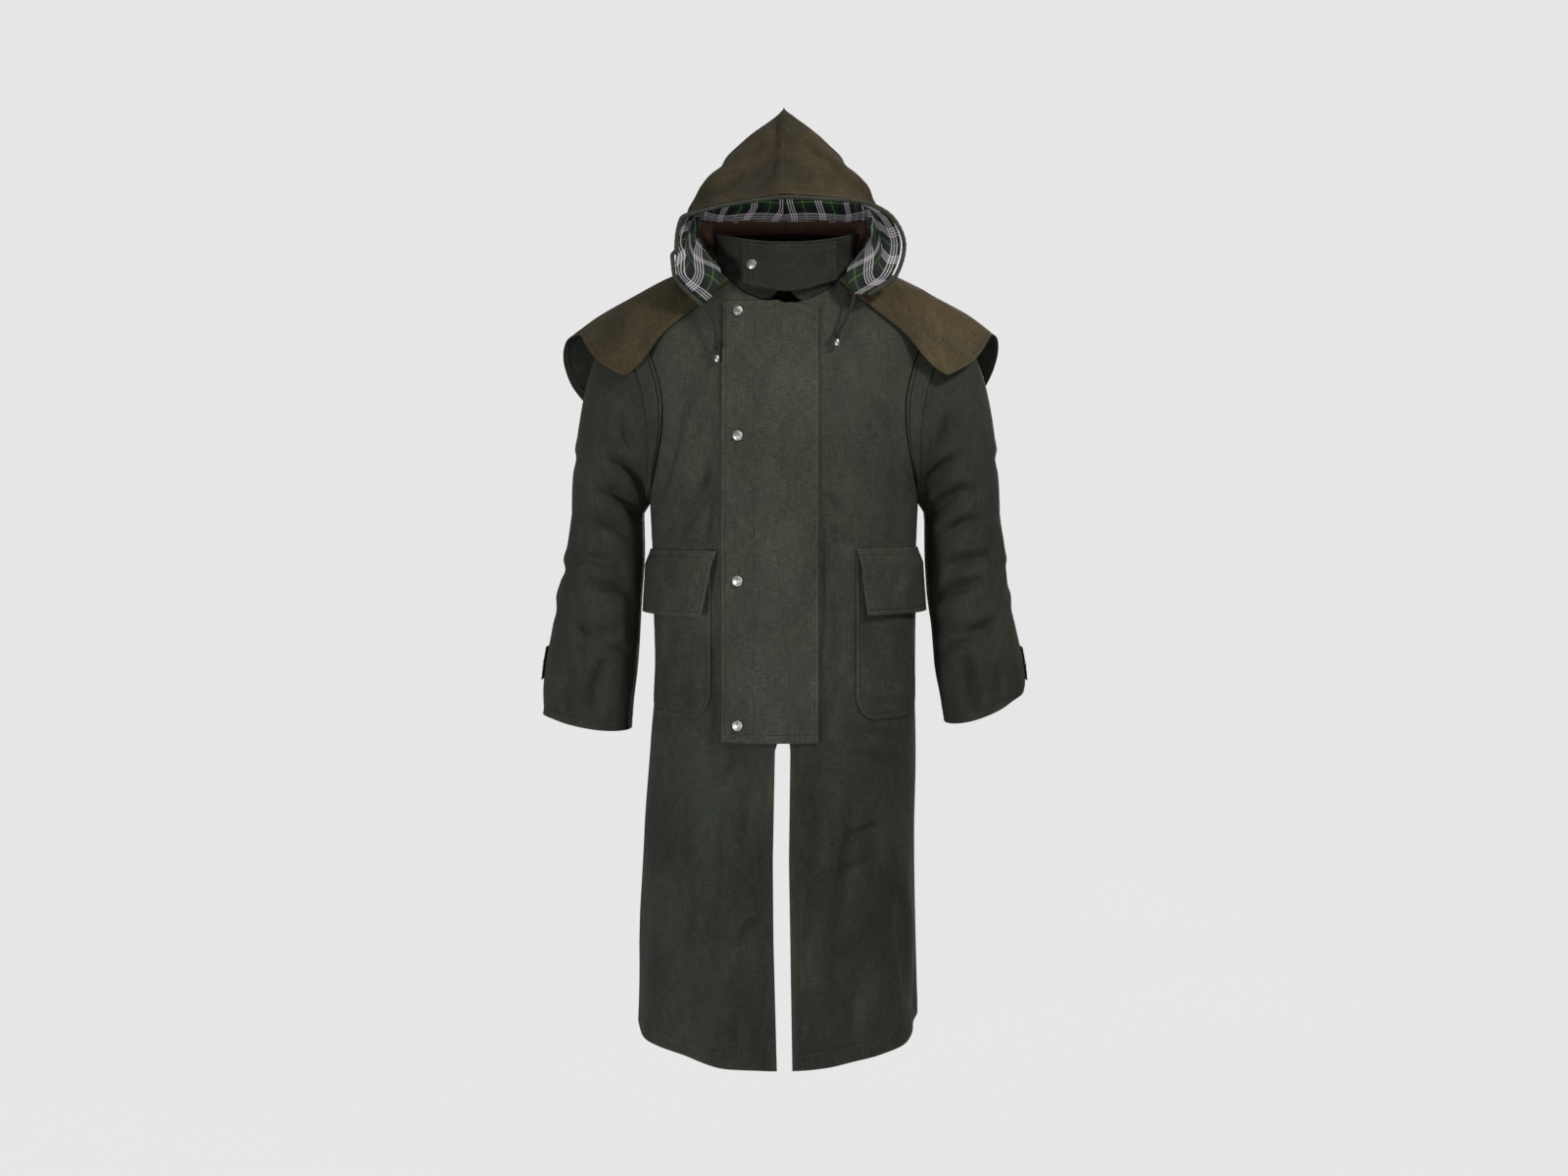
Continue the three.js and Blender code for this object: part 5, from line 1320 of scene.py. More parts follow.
def pocket_points(word, u, v):
    """A pocket bag: laid on the front with its lower corners rounded, and fullest at its middle."""
    size = POCKETS[word]
    hand = hand_of(word)
    height = mix(size["bottom"], size["top"], v)
    at = place_at_height(height)
    sec = section(BODY_RINGS, at)
    above = np.minimum(POCKET_CORNER, height - size["bottom"])
    cut = POCKET_CORNER - np.sqrt(np.maximum(0, POCKET_CORNER ** 2 - (POCKET_CORNER - above) ** 2))
    cut_angle = hand * cut / sec["half"]
    angle = mix(angle_at_x(sec, size["inner"], True) + cut_angle, size["outer_angle"] * DEG - cut_angle, u)
    full = POCKET_FULL * np.sin(np.pi * u) * np.maximum(0, np.sin(np.pi * np.minimum(1, v * 1.15))) ** 0.7
    return body_points(angle, at) + outward(angle) * full[..., None]


def pocket_flap_points(word, u, v):
    """A pocket's flap: hinged along its top and standing further off the bag towards its lower edge."""
    size = POCKET_FLAPS[word]
    at = place_at_height(mix(size["bottom"], size["top"], v))
    inner = angle_at_x(section(BODY_RINGS, at), mix(size["inner_bottom"], size["inner_top"], v), True)
    angle = mix(inner, size["outer_angle"] * DEG, u)
    down = 1 - v
    stand = np.minimum(1, down * 4) * (LAID_ON + CLOTH + POCKET_FULL)
    stand = stand + POCKET_FLAP_LIFT * down ** 1.2 + size["corner"] * u ** 3 * down
    return body_points(angle, at) + outward(angle) * stand[..., None]


def dress_pocket(word):
    """A bellows pocket and its flap, with creases, double edge stitching and slight sag."""
    hand = hand_of(word)
    green = material("green")
    lift = LAID_ON + CLOTH
    us, vs = spaced(60, 150, (0.05, 0.95)), spaced(84, 234, (0.035,))
    u, v = mesh_of(us, vs)
    bag = Cloth(pocket_points(word, u, v), hand)
    x, z = bag.points[..., 0] * hand, bag.points[..., 2]
    sag = creases(x, z, POCKET_CREASES)
    inside = ease(u, 0.04, 0.14) * ease(1 - u, 0.04, 0.14) * ease(v, 0.03, 0.1)
    bag.press(np.minimum(sag, 2.2) * inside)
    bag.sew(us, vs, u_lines=(0.05, 0.95), v_lines=(0.035,), deep=0.45, pucker=0.25)
    bag_piece = cloth_piece(f"{word}_pocket_bag", bag, CLOTH, green, [f"pocket_{word}"], lift)
    lines = []
    for line in ({"u": 0.05, "start": 0.04}, {"u": 0.95, "start": 0.04}, {"v": 0.035, "start": 0.06, "end": 0.94}):
        lines.append(bag.row(us, vs, lift=lift, **line))

    fus, fvs = spaced(64, 150, (0.045, 0.955)), spaced(40, 98, (0.07, 0.9, 0.965))
    fu, fv = mesh_of(fus, fvs)
    flap = Cloth(pocket_flap_points(word, fu, fv), hand)
    x, z = flap.points[..., 0] * hand, flap.points[..., 2]
    bend = creases(x, z, POCKET_FLAP_CREASES)
    flap.press(np.clip(bend, -1.4, 2.0) * ease(fv, 0.03, 0.2) * ease(1 - fv, 0.03, 0.2))
    flap.sew(fus, fvs, u_lines=(0.045, 0.955), v_lines=(0.07, 0.9), deep=0.45, pucker=0.22)
    flap_piece = cloth_piece(
        f"{word}_pocket_flap", flap, CLOTH, green, [f"pocket_flap_{word}"], lift
    )
    for line in ({"u": 0.045}, {"u": 0.955}, {"v": 0.07}, {"v": 0.9}, {"v": 0.965}):
        lines.append(flap.row(fus, fvs, start=0.05, end=0.95, lift=lift, **line))
    sewing = stitches(f"{word}_pocket_stitching", lines, material("thread"))


def flap_points(u, v):
    """The storm flap: on the front, between its two edges and between its foot and its gently stepped top."""
    top = mix(FLAP["top"], FLAP["top_right"], ease(u, 0.6, 1))
    return front_points(mix(FLAP["left"], FLAP["right"], u), mix(FLAP["bottom"], top, v))


def dress_storm_flap():
    """The storm flap, sewn down by a double row on the wearer's left, gathered at its top and pulled in a little at
    each stud, with its placket row, top and foot rows, and its four press studs."""
    lift = FLAP_ROOM + CLOTH
    wide, tall = FLAP["right"] - FLAP["left"], FLAP["top"] - FLAP["bottom"]
    placket = (PLACKET_X - FLAP["left"]) / wide
    seams_u, seams_v = (0.035, placket, 0.925, 0.972), (0.018, 0.982)
    us, vs = spaced(56, wide, seams_u), spaced(190, tall, seams_v)
    u, v = mesh_of(us, vs)
    flap = Cloth(flap_points(u, v), 1)
    x, z = flap.points[..., 0], flap.points[..., 2]
    drape = cockle(x, z, 0.8, 21) * ease(u, 0.02, 0.12) * ease(1 - u, 0.02, 0.12)
    gather = np.exp(-((u - 0.93) / 0.09) ** 2) * np.exp(-((1 - v) / 0.045) ** 2)
    drape = drape + gather * 1.5 * np.sin((z + x * 0.8) * 2 * np.pi / 15)
    pulls = sum(0.8 * np.exp(-(((z - h) / 9) ** 2) - ((x - STUD_X) / 12) ** 2) for h in STUD_HEIGHTS)
    flap.press(np.clip(drape, -1.6, 1.6) * ease(v, 0, 0.02) + pulls)
    flap.sew(us, vs, u_lines=seams_u, v_lines=seams_v, deep=0.5, pucker=0.28)
    # The flap material is a lighter copy of the green cotton, painted light.
    piece = cloth_piece("storm_flap_cloth", flap, CLOTH, material("flap"), ["storm_flap"], lift)
    lines = [flap.row(us, vs, u=share, start=0.004, end=0.996, count=900, lift=lift) for share in seams_u]
    lines += [flap.row(us, vs, v=share, start=0.03, end=0.97, lift=lift) for share in seams_v]
    sewing = stitches("storm_flap_stitching", lines, material("thread"))
    stud_u = (STUD_X - FLAP["left"]) / wide
    for k, height in enumerate(STUD_HEIGHTS):
        stud_v = (height - FLAP["bottom"]) / tall
        u0, v0 = np.array([stud_u]), np.array([stud_v])
        step = 1e-3
        place = flap_points(u0, v0)[0]
        across = (flap_points(u0 + step, v0) - flap_points(u0 - step, v0))[0]
        up = (flap_points(u0, v0 + step) - flap_points(u0, v0 - step))[0]
        normal = np.cross(across, up)
        normal /= np.linalg.norm(normal)
        make_stud(f"flap_press_stud_{k + 1}", place + normal * (lift + SEAM), normal, f"flap_stud_{k + 1}")


def collar_points(angle, ring):
    """The stand collar: rings from the neckline to the free edge, with its foot lifted at the centre front."""
    angle, ring = np.broadcast_arrays(angle, ring)
    points = ring_points(section(COLLAR_RINGS, ring), angle)
    off = np.arctan2(np.sin(angle), np.cos(angle)) / COLLAR_RISE_HALF
    points[..., 2] += COLLAR_RISE * np.exp(-off * off) * (1 - ring / 2)
    return points


def tab_points(u, v):
    """The throat tab: round the collar's front between its slanted ends, its lower edge a bent line that stands
    off."""
    sec = section(COLLAR_RINGS, np.array(TAB["top"]))
    start = angle_at_x(sec, TAB["left"], True)
    end = angle_at_x(sec, TAB["right"], True)
    slant = TAB["slant"] / float(sec["fore"]) * (1 - u) * (1 - v)
    angle = mix(start, end, u) + slant
    top = collar_points(angle, np.full(u.shape, TAB["top"]))[..., 2]
    foot = collar_points(angle, np.zeros(u.shape))[..., 2]
    z = mix(smooth(TAB_LOWER_EDGE[0], TAB_LOWER_EDGE[1], u), top, v)
    ring = np.clip((z - foot) / (top - foot) * TAB["top"], -0.2, 2)
    points = collar_points(angle, ring)
    points[..., 2] = z
    return points + outward(angle) * (TAB["stand"] * np.maximum(0, 1 - v) ** 1.5)[..., None]


def dress_collar():
    """The stand collar and the throat tab that closes it, with its stud."""
    # The collar material is a darker copy of the green cotton, painted shade of the hood's shadow; the tab uses it
    # too.
    green = material("collar")
    half = SEAM / COLLAR_RINGS[0, 5]
    close = np.linspace(0, 0.05, 16)
    us = np.unique(np.concatenate([close, np.linspace(0.05, 0.95, 150), 1 - close, [0.0012, 0.9988]]))
    vs = spaced(34, 100, (0.07, 0.93))
    u, v = mesh_of(us, vs)
    collar = Cloth(collar_points(COLLAR_OVERLAP_FROM + half + u * (2 * np.pi - 2 * half), v * 2), 1)
    x, z = collar.points[..., 0], collar.points[..., 2]
    depth = creases(x, z, COLLAR_CREASES) * collar.facing(1, -1)
    depth += np.maximum(cockle(x, z, 0.8, 31), 0) * 0.6
    free = ease(v, 0.0, 0.12) * ease(1 - v, 0.0, 0.1) * ease(u, 0, 0.02) * ease(1 - u, 0, 0.02)
    collar.press(np.clip(depth, -0.35, 3) * free)
    collar.sew(us, vs, v_lines=(0.93,), deep=0.3, pucker=0.1)
    piece = cloth_piece("stand_collar", collar, CLOTH, green, ["collar"])
    lines = [collar.row(us, vs, v=0.93, start=0.01, end=0.99, count=800)]

    lift = LAID_ON + CLOTH
    tus, tvs = spaced(60, 150, (0.05, 0.95)), spaced(34, 68, (0.09, 0.91))
    tu, tv = mesh_of(tus, tvs)
    tab = Cloth(tab_points(tu, tv), 1)
    x, z = tab.points[..., 0], tab.points[..., 2]
    bend = creases(x, z, TAB_CREASES)
    tab.press(np.clip(bend, -1.4, 0.5) * ease(tv, 0.05, 0.2) * ease(1 - tv, 0.05, 0.2))
    tab.sew(tus, tvs, u_lines=(0.05, 0.95), v_lines=(0.09, 0.91), deep=0.4, pucker=0.2)
    tab_piece = cloth_piece("throat_tab_cloth", tab, CLOTH, green, ["throat_tab"], lift)
    for line in ({"u": 0.05}, {"u": 0.95}, {"v": 0.09}, {"v": 0.91}):
        lines.append(tab.row(tus, tvs, start=0.06, end=0.94, lift=lift, **line))
    sewing = stitches("collar_stitching", lines, material("thread"))
    place, normal = tab.read(tus, tvs, np.array([COLLAR_STUD[0]]), np.array([COLLAR_STUD[1]]))
    make_stud("collar_press_stud", place[0] + normal[0] * (lift + SEAM), normal[0], "collar_stud")


# Cape and hood


def cape_points(angle, ring):
    """The cape: rings that follow the shoulders and then hang, with the back corners flared out."""
    points = ring_points(section(CAPE_RINGS, ring), angle)
    behind = 2.2 * np.maximum(0, -np.cos(angle)) ** 0.6 * np.abs(np.sin(angle)) ** 3
    side = np.sign(np.sin(angle))
    flare = np.where(side > 0, CAPE_BACK_FLARE["left"], CAPE_BACK_FLARE["right"])
    points[..., 0] += side * flare * behind * (ring / 4) ** 2
    return points


def dress_cape():
    """The two fronts and the back of the shoulder cape; the back's inner skin shows the green cotton in the
    sleeves' darker copy, painted shade of its shadowed underside.
    """
    olive = material("olive")
    table = CAPE_FRONT_HEM
    lines, fronts = [], []
    for word in ("right", "left"):
        hand = hand_of(word)
        us, vs = spaced(64, 190, (0.03,)), spaced(76, 230, (0.965,))
        u, v = mesh_of(us, vs)
        neck, hem = np.interp(u, table[:, 0], table[:, 1]), np.interp(u, table[:, 0], table[:, 2])
        angle = mix(neck, hem, v ** 0.9) * DEG - 0.12 * DEG
        cloth = Cloth(cape_points(hand * angle, v * np.interp(u, table[:, 0], table[:, 3])), -hand)
        x, z = cloth.points[..., 0], cloth.points[..., 2]
        depth = creases(x, z, CAPE_CREASES) + cockle(x, z, 1.0, 41 + hand)
        cloth.press(np.clip(depth, -1.3, 1.0) * ease(v, 0.05, 0.3) * ease(1 - u, 0.0, 0.1))
        cloth.sew(us, vs, u_lines=(0.03,), v_lines=(0.965,), deep=0.4, pucker=0.3)
        fronts.append(
            cloth_piece(f"{word}_cape_front", cloth, CLOTH, olive, [f"cape_front_{word}"])
        )
        lines += [
            cloth.row(us, vs, u=0.03, start=0.1, end=0.96), cloth.row(us, vs, v=0.965, start=0.03, end=0.99),
            cloth.row(us, vs, u=0.975, start=0.02, end=0.98),
        ]
    us, vs = spaced(190, 800), spaced(80, 300, (0.97,))
    u, v = mesh_of(us, vs)
    degrees = mix(90.12, 269.88, u)
    ring = v * np.interp(np.minimum(degrees, 360 - degrees), CAPE_BACK_HEM[:, 0], CAPE_BACK_HEM[:, 1])
    back = Cloth(cape_points(degrees * DEG, ring), -1)
    x, z = back.points[..., 0], back.points[..., 2]
    depth = creases(x, z, CAPE_BACK_CREASES) + cockle(x, z, 1.4, 45)
    deepest = mix(0.8, 5, ease(v, 0.45, 0.8))
    back.press(np.clip(depth, -3, deepest) * ease(v, 0.08, 0.4) * ease(u, 0, 0.05) * ease(1 - u, 0, 0.05))
    back.sew(us, vs, v_lines=(0.97,), deep=0.4, pucker=0.45)
    back_piece = cloth_piece("back_cape", back, CLOTH, olive, ["cape_back"])
    # The inner skin takes the sleeves' darker copy of the green cotton, painted shade of the cape's shadowed
    # underside.
    back_piece.data.materials.append(material("sleeve"))
    side = (len(us) - 1) * (len(vs) - 1)
    inner = np.zeros(len(back_piece.data.polygons), np.int32)
    inner[side:2 * side] = 1
    back_piece.data.polygons.foreach_set("material_index", inner)
    lines.append(back.row(us, vs, v=0.97, start=0.01, end=0.99, count=900))
    sewing = stitches("cape_stitching", lines, material("olive_thread"))


def hood_points(word, s, t):
    """Half of the hood: a smooth surface through its arches. s runs from the neck edge (0) to the top seam (1) and t
    from the face edge (0) to the back seam (1); both are plain rows of shares."""
    hand = hand_of(word)
    arches = HOOD_ARCHES.copy()
    if hand < 0:
        arches[0] = RIGHT_FACE_EDGE
    up = smooth(np.arange(6) / 5, np.moveaxis(arches, 1, 0), s)
    grid = smooth(HOOD_SHARES, np.moveaxis(up, 1, 0), t)
    points = np.moveaxis(grid, 0, 1).copy()
    width = 1 if hand > 0 else mix(1, HOOD_RIGHT_SHARE, np.minimum(1, t * 4))[None, :]
    points[..., 0] = hand * points[..., 0] * width
    return points


def keep_apart(word):
    """A function that keeps a half of the hood on its own side of the top seam."""
    hand = hand_of(word)

    def hold(skins):
        """The skins with no point past the middle."""
        skins = skins.copy()
        skins[..., 0] = hand * np.maximum(0, hand * skins[..., 0])
        return skins

    return hold


def hood_shares():
    """Places of the grid's lines on a half of the hood, close together beside its edges and its sewn lines."""
    s = np.unique(np.concatenate([spaced(66, 330), [0.955, 0.962, 0.969]]))
    t = np.unique(np.concatenate([np.linspace(0, 0.14, 18), np.linspace(0.14, 1, 60), [0.003, 0.997, 0.055, 0.062]]))
    return s, t


def dress_hood_half(word):
    """A half of the hood and its lining, which is plain behind the neck: the two pieces, and the rows to sew."""
    hand = hand_of(word)
    s, t = hood_shares()
    half = Cloth(hood_points(word, s, t), -hand)
    x, y, z = np.moveaxis(half.points, -1, 0)
    depth = creases(x, z, HOOD_CREASES, strength=2.8) * half.facing(1, -1)
    depth += creases(y, z, HOOD_SIDE_CREASES) * half.facing(0, hand) * 0.8
    depth += cockle(x + y, z, 1.0, 51 + hand)
    up, back = mesh_of(s, t)
    free = ease(1 - up, 0.006, 0.05) * ease(back, 0.01, 0.08) * ease(1 - back, 0.0, 0.1) * ease(up, 0, 0.08)
    half.press(np.clip(depth, -3, 4.5) * free)
    half.sew(s, t, u_lines=(0.962,), v_lines=(0.06,), deep=0.4, pucker=0.3)
    hold = keep_apart(word)
    outside = cloth_piece(
        f"{word}_hood_half", half, CLOTH, material("olive"), [f"hood_{word}"], 0, hold
    )
    rows = [
        half.row(s, t, v=0.06, start=0.02, end=0.985, count=700),
        half.row(s, t, u=0.962, start=0.01, end=0.97, count=700),
    ]
    lining = Cloth(hood_points(word, s, t), -hand)
    ripple = cockle(x + y, z, 0.9, 61 + hand) * free
    lining.press(np.maximum(ripple, -0.1) + 1.2 * ease(back, 0.1, 0.3) * free + np.clip(depth, 0, 4.5) * free)
    inside = cloth_piece(
        f"{word}_hood_lining", lining, LINING, material("plaid"), [f"hood_lining_{word}"],
        -CLOTH - LINING_ROOM, hold, (0.0335, 0.026),
    )
    inside.data.materials.append(material("neck"))
    centres = np.empty(len(inside.data.polygons) * 3, np.float32)
    inside.data.polygons.foreach_get("center", centres)
    centres = centres.reshape(-1, 3) / MM
    at_neck = (centres[:, 1] > 12) & (centres[:, 2] < 78 - 0.0009 * centres[:, 0] ** 2)
    inside.data.polygons.foreach_set("material_index", at_neck.astype(np.int32))
    return [outside, inside], rows


def face_edge_path():
    """The channel's middle line: round the face edge from the wearer's right to the left, level with the middle of
    the two cloths and just in front of them, in even steps. Also the length from its start to each point."""
    edge = []
    for word in ("right", "left"):
        hand = hand_of(word)
        ahead = hood_points(word, np.linspace(0, 1, 60), np.array([0, 0.004, 0.01]))
        inward = -normals_of(ahead, -hand)[:, 0] * (CLOTH + LINING) / 2
        forward = unit(ahead[:, 0] - ahead[:, 2]) * (CHANNEL_RADIUS + CHANNEL_ROOM)
        points = ahead[:, 0] + inward + forward
        edge.append(points[:-1] if hand < 0 else points[:-1][::-1])
    path = np.concatenate(edge)
    way = way_lengths(path, 0)
    fine = np.linspace(0, way[-1], 320)
    return np.stack([np.interp(fine, way, path[:, k]) for k in range(3)], axis=-1), fine


def dress_hood():
    """Both halves of the hood, their lining and stitching, and the gathered channel round the face edge."""
    halves, lines = [], []
    for word in ("right", "left"):
        pieces, rows = dress_hood_half(word)
        halves += pieces
        lines += rows
    stitches("hood_stitching", lines, material("olive_thread"))
    path, way = face_edge_path()
    gather = 0.16 * np.sin(way * 2 * np.pi / 9 + 1.3 * np.sin(way / 21))
    radius = np.full((len(path), 14), CHANNEL_RADIUS + 0.5) + gather[:, None]
    radius[[0, -1]] *= 0.8
    vertices, faces, uv = swept(path, radius)
    make_piece("hood_face_channel", vertices, faces, material("green"), ["hood_channel"], uv)


# Draw cords


def cord_route(word):
    """A cord's way in millimetres: out of the hood's neck edge, down to the knot, through it and on to its end."""
    exit_share = CORD_EXITS[word]
    t = np.array([exit_share - 0.001, exit_share, exit_share + 0.001])
    near = hood_points(word, np.array([0, 0.001, 0.002]), t)
    normal = normals_of(near, -hand_of(word))[0, 1]
    start = near[0, 1] - normal * CLOTH / 2
    start[2] -= CORD_DROP[word]
    points = np.array([start, *CORDS[word]])
    down = points[-1] - points[-2]
    down /= np.linalg.norm(down)
    knot = points[-1] + down * (KNOT_RADIUS + SEAM)
    end = knot + np.array([0, 0, -KNOT_RADIUS - SEAM - TAILS[word] - 1.5])
    keys = np.concatenate([points, [knot, end]])
    way = way_lengths(keys, 0)
    return smooth(way, keys, np.linspace(0, way[-1], 30)), knot, end


def dress_cord(word):
    """A draw cord, its surface raised where the yarns of its braid cross, with its overhand knot, which follows a
    trefoil line, and its metal end, a turned barrel."""
    route, knot, end = cord_route(word)
    way = way_lengths(route, 0)
    fine = np.linspace(0, way[-1], 240)
    turn = np.arange(20) / 20 * 2 * np.pi
    lean = fine[:, None] * 2 * np.pi / BRAID_PITCH
    braid = np.sin(turn[None] * 4 + lean) * np.sin(turn[None] * 4 - lean)
    thick = CORD_RADIUS - 0.1
    vertices, faces, uv = swept(smooth(way, route, fine), thick * (1 + 0.08 * braid))
    nodes = [f"cord_{word}"] + (["cord_tail_right"] if word == "right" else [])
    cord = make_piece(f"{word}_draw_cord", vertices, faces, material("cord"), nodes, uv)

    loop = np.linspace(0, 2 * np.pi, 90, endpoint=False)
    ring = (KNOT_RADIUS * 0.52) * (1 + 0.45 * np.cos(3 * loop))
    trefoil = np.stack([
        ring * np.cos(2 * loop), KNOT_RADIUS * 0.42 * np.sin(3 * loop), ring * np.sin(2 * loop) * 0.85 * 1.05,
    ], axis=-1)
    vertices, faces, uv = swept_loop(trefoil + knot, np.full((len(loop), 14), 1.75))
    knot_piece = make_piece(f"{word}_cord_knot", vertices, faces, material("cord"), [f"cord_knot_{word}"], uv)

    vertices, faces = turned(CORD_END, 28, end + np.array([0, 0, 1.5]), (0, 0, -1))
    tip = make_piece(f"{word}_cord_end", vertices, faces, material("metal"), [f"cord_tip_{word}"])


# Stage


def backdrop_material(colour):
    """Pale card: nearly even under any light, with a faint mottle."""
    sh = Shader("pale_backdrop")
    place = sh.add("ShaderNodeTexCoord").outputs["Object"]
    mottle = sh.span(sh.noise(place, 0.6, 2), 0.3, 0.7, 0.995, 1.005)
    tone = sh.scale(colour, mottle)
    sh.set("Base Color", (0.003, 0.003, 0.003, 1))
    sh.set("Roughness", 1.0)
    sh.set("Specular IOR Level", 0.0)
    sh.set("Emission Color", tone)
    sh.set("Emission Strength", 1.0)
    return sh.material


def aim(thing, target):
    """Turns a light or camera so that it looks at a target."""
    way = Vector(target) - thing.location
    thing.rotation_mode = "QUATERNION"
    thing.rotation_quaternion = way.to_track_quat("-Z", "Y")


def soft_light(name, place, target, size, power, colour):
    """A round area light of a size and power, aimed at a target."""
    lamp = bpy.data.lights.new(name, "AREA")
    lamp.shape, lamp.size, lamp.energy, lamp.color = "DISK", size, power, colour
    thing = bpy.data.objects.new(name, lamp)
    bpy.context.scene.collection.objects.link(thing)
    thing.location = place
    aim(thing, target)


def build_camera():
    """The camera in front of the coat, a little above its middle and tilted down by its height over the distance."""
    camera = bpy.data.cameras.new("front_camera")
    camera.lens, camera.sensor_width = 36.07, 36.0
    thing = bpy.data.objects.new("front_camera", camera)
    bpy.context.scene.collection.objects.link(thing)
    thing.location = (0, -bpy.context.scene.coat_sizes.camera_distance, -0.348)
    aim(thing, (0, 0, -0.498))
    bpy.context.scene.camera = thing


def build_stage():
    """A pale floor that rises by a quarter circle into a wall, a pale world and soft lights from the front."""
    scene = bpy.context.scene
    colour = tuple(scene.coat_colours.backdrop)
    floor_z, depth, rise, top = -1.52, 6.0, 1.6, 9.0
    bend = np.linspace(0, np.pi / 2, 40)
    y = np.concatenate([[-7.0], depth - rise + rise * np.sin(bend), [depth]])
    z = np.concatenate([[0], rise * (1 - np.cos(bend)), [top]])
    x = np.array([-9.0, 0, 9.0])
    gx, gy = np.meshgrid(x, y, indexing="ij")
    gz = np.broadcast_to(z, gx.shape)
    vertices = np.stack([gx, gy, gz + floor_z], axis=-1).reshape(-1, 3)
    ids = np.arange(gx.size).reshape(gx.shape)
    faces = np.stack([ids[:-1, :-1], ids[1:, :-1], ids[1:, 1:], ids[:-1, 1:]], axis=-1).reshape(-1, 4)
    mesh = bpy.data.meshes.new("floor")
    mesh.from_pydata(vertices, [], faces)
    mesh.polygons.foreach_set("use_smooth", np.ones(len(faces), bool))
    mesh.materials.append(backdrop_material(colour))
    floor = bpy.data.objects.new("floor", mesh)
    scene.collection.objects.link(floor)

    world = bpy.data.worlds.new("pale_room")
    world.use_nodes = True
    world.node_tree.nodes["Background"].inputs[0].default_value = (*colour, 1)
    world.node_tree.nodes["Background"].inputs[1].default_value = 0.6
    scene.world = world
    scene.view_settings.view_transform = "Standard"
    middle = (0, 0, -0.5)
    soft_light("key_light", (2.3, -1.8, 2.0), (0, 0, -0.2), 0.7, 188, (1.0, 0.985, 0.95))
    soft_light("fill_light", (-2.1, -2.1, -1.15), (-0.1, 0, -0.66), 0.6, 108, (0.97, 0.985, 1.0))
    soft_light("top_light", (0.2, -0.6, 2.4), (0, 0, -0.1), 1.0, 36, (1.0, 0.97, 0.92))
    soft_light("back_light", (0.7, 3.3, 0.1), middle, 2.2, 120, (0.98, 0.99, 1.0))
    soft_light("hood_light", (0.1, -2.3, -0.62), (0, 0, 0.05), 0.4, 17, (1.0, 0.99, 0.97))


# Operators and panel


class COAT_OT_camera(bpy.types.Operator):
    """Place the camera in front of the coat"""

    bl_idname = "coat.camera"
    bl_label = "Camera"

    def execute(self, context):
        build_camera()
        return {"FINISHED"}


class COAT_OT_cords(bpy.types.Operator):
    """Make the hood's draw cords with their knots and ends"""

    bl_idname = "coat.cords"
    bl_label = "Draw Cords"

    def execute(self, context):
        for word in ("right", "left"):
            dress_cord(word)
        return {"FINISHED"}


class COAT_OT_fronts(bpy.types.Operator):
    """Make the two front panels"""

    bl_idname = "coat.fronts"
    bl_label = "Fronts"

    def execute(self, context):
        for word in ("right", "left"):
            dress_panel(word, True)
        return {"FINISHED"}


class COAT_OT_backs(bpy.types.Operator):
    """Make the two back panels"""

    bl_idname = "coat.backs"
    bl_label = "Backs"

    def execute(self, context):
        for word in ("right", "left"):
            dress_panel(word, False)
        return {"FINISHED"}


class COAT_OT_sleeves(bpy.types.Operator):
    """Make the sleeves with their armhole strips and cuff straps"""

    bl_idname = "coat.sleeves"
    bl_label = "Sleeves"

    def execute(self, context):
        for word in ("right", "left"):
            dress_sleeve(word)
        return {"FINISHED"}


class COAT_OT_pockets(bpy.types.Operator):
    """Make the bellows pockets and their flaps"""

    bl_idname = "coat.pockets"
    bl_label = "Pockets"

    def execute(self, context):
        for word in ("right", "left"):
            dress_pocket(word)
        return {"FINISHED"}


class COAT_OT_storm_flap(bpy.types.Operator):
    """Make the storm flap and its press studs"""

    bl_idname = "coat.storm_flap"
    bl_label = "Storm Flap"

    def execute(self, context):
        dress_storm_flap()
        return {"FINISHED"}


class COAT_OT_collar(bpy.types.Operator):
    """Make the stand collar, the throat tab and its stud"""

    bl_idname = "coat.collar"
    bl_label = "Collar"

    def execute(self, context):
        dress_collar()
        return {"FINISHED"}


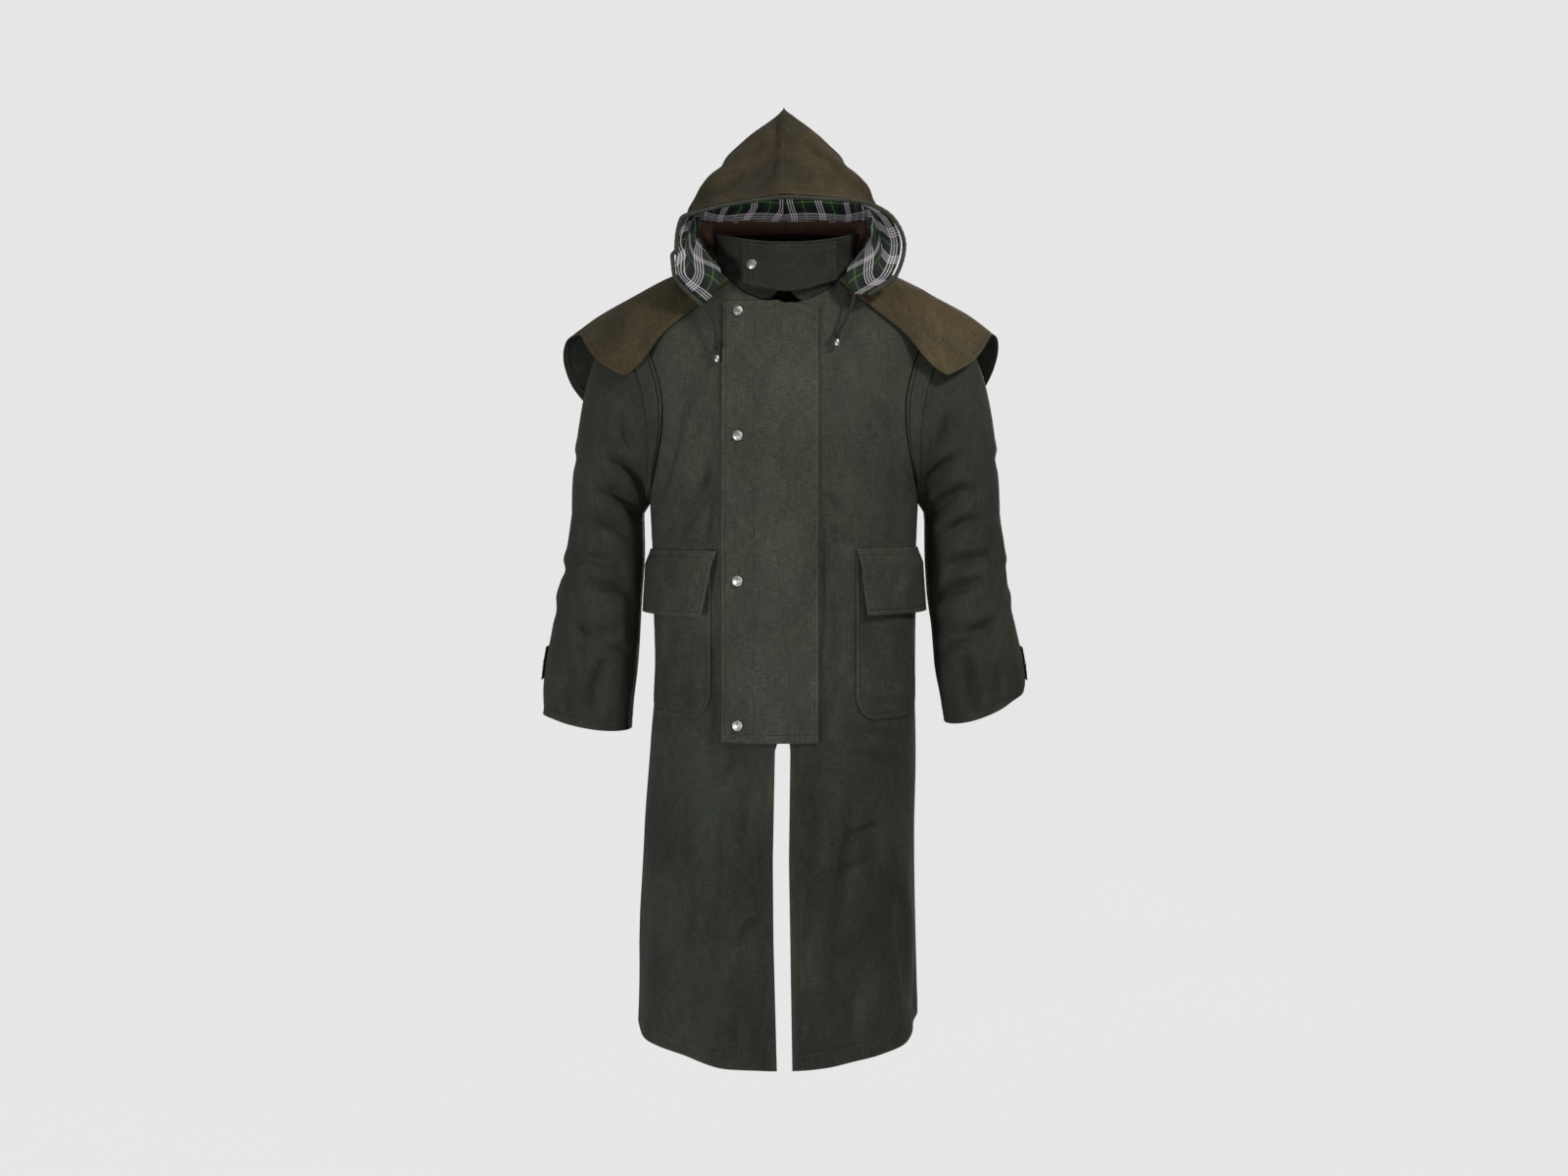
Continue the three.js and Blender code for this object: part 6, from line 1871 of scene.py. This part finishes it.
class COAT_OT_cape(bpy.types.Operator):
    """Make the shoulder cape"""

    bl_idname = "coat.cape"
    bl_label = "Shoulder Cape"

    def execute(self, context):
        dress_cape()
        return {"FINISHED"}


class COAT_OT_hood(bpy.types.Operator):
    """Make the hood, its plaid lining and the channel round its face edge"""

    bl_idname = "coat.hood"
    bl_label = "Hood"

    def execute(self, context):
        dress_hood()
        return {"FINISHED"}


class COAT_OT_stage(bpy.types.Operator):
    """Make the floor, the pale surroundings and the lights"""

    bl_idname = "coat.stage"
    bl_label = "Stage"

    def execute(self, context):
        build_stage()
        return {"FINISHED"}


STEPS = (
    COAT_OT_camera, COAT_OT_cords, COAT_OT_fronts, COAT_OT_backs, COAT_OT_sleeves, COAT_OT_pockets,
    COAT_OT_storm_flap, COAT_OT_collar, COAT_OT_cape, COAT_OT_hood, COAT_OT_stage,
)


class COAT_PT_panel(bpy.types.Panel):
    """Sizes, colours and steps of the coat"""

    bl_idname = "COAT_PT_panel"
    bl_label = "Duster Coat"
    bl_space_type = "VIEW_3D"
    bl_region_type = "UI"
    bl_category = "Coat"

    def draw(self, context):
        layout = self.layout
        for step in STEPS:
            layout.operator(step.bl_idname)
        for group in (context.scene.coat_sizes, context.scene.coat_colours):
            column = layout.column()
            for name in group.__annotations__:
                column.prop(group, name)


CLASSES = (CoatSizes, CoatColours, *STEPS, COAT_PT_panel)


def register():
    """Adds the classes, and the two property groups to the scene."""
    for cls in CLASSES:
        bpy.utils.register_class(cls)
    bpy.types.Scene.coat_sizes = PointerProperty(type=CoatSizes)
    bpy.types.Scene.coat_colours = PointerProperty(type=CoatColours)


def unregister():
    """Takes the property groups and the classes away again."""
    del bpy.types.Scene.coat_colours
    del bpy.types.Scene.coat_sizes
    for cls in reversed(CLASSES):
        bpy.utils.unregister_class(cls)


def main():
    """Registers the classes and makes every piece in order."""
    register()
    for step in STEPS:
        group, name = step.bl_idname.split(".")
        getattr(getattr(bpy.ops, group), name)()


if __name__ == "__main__":
    main()
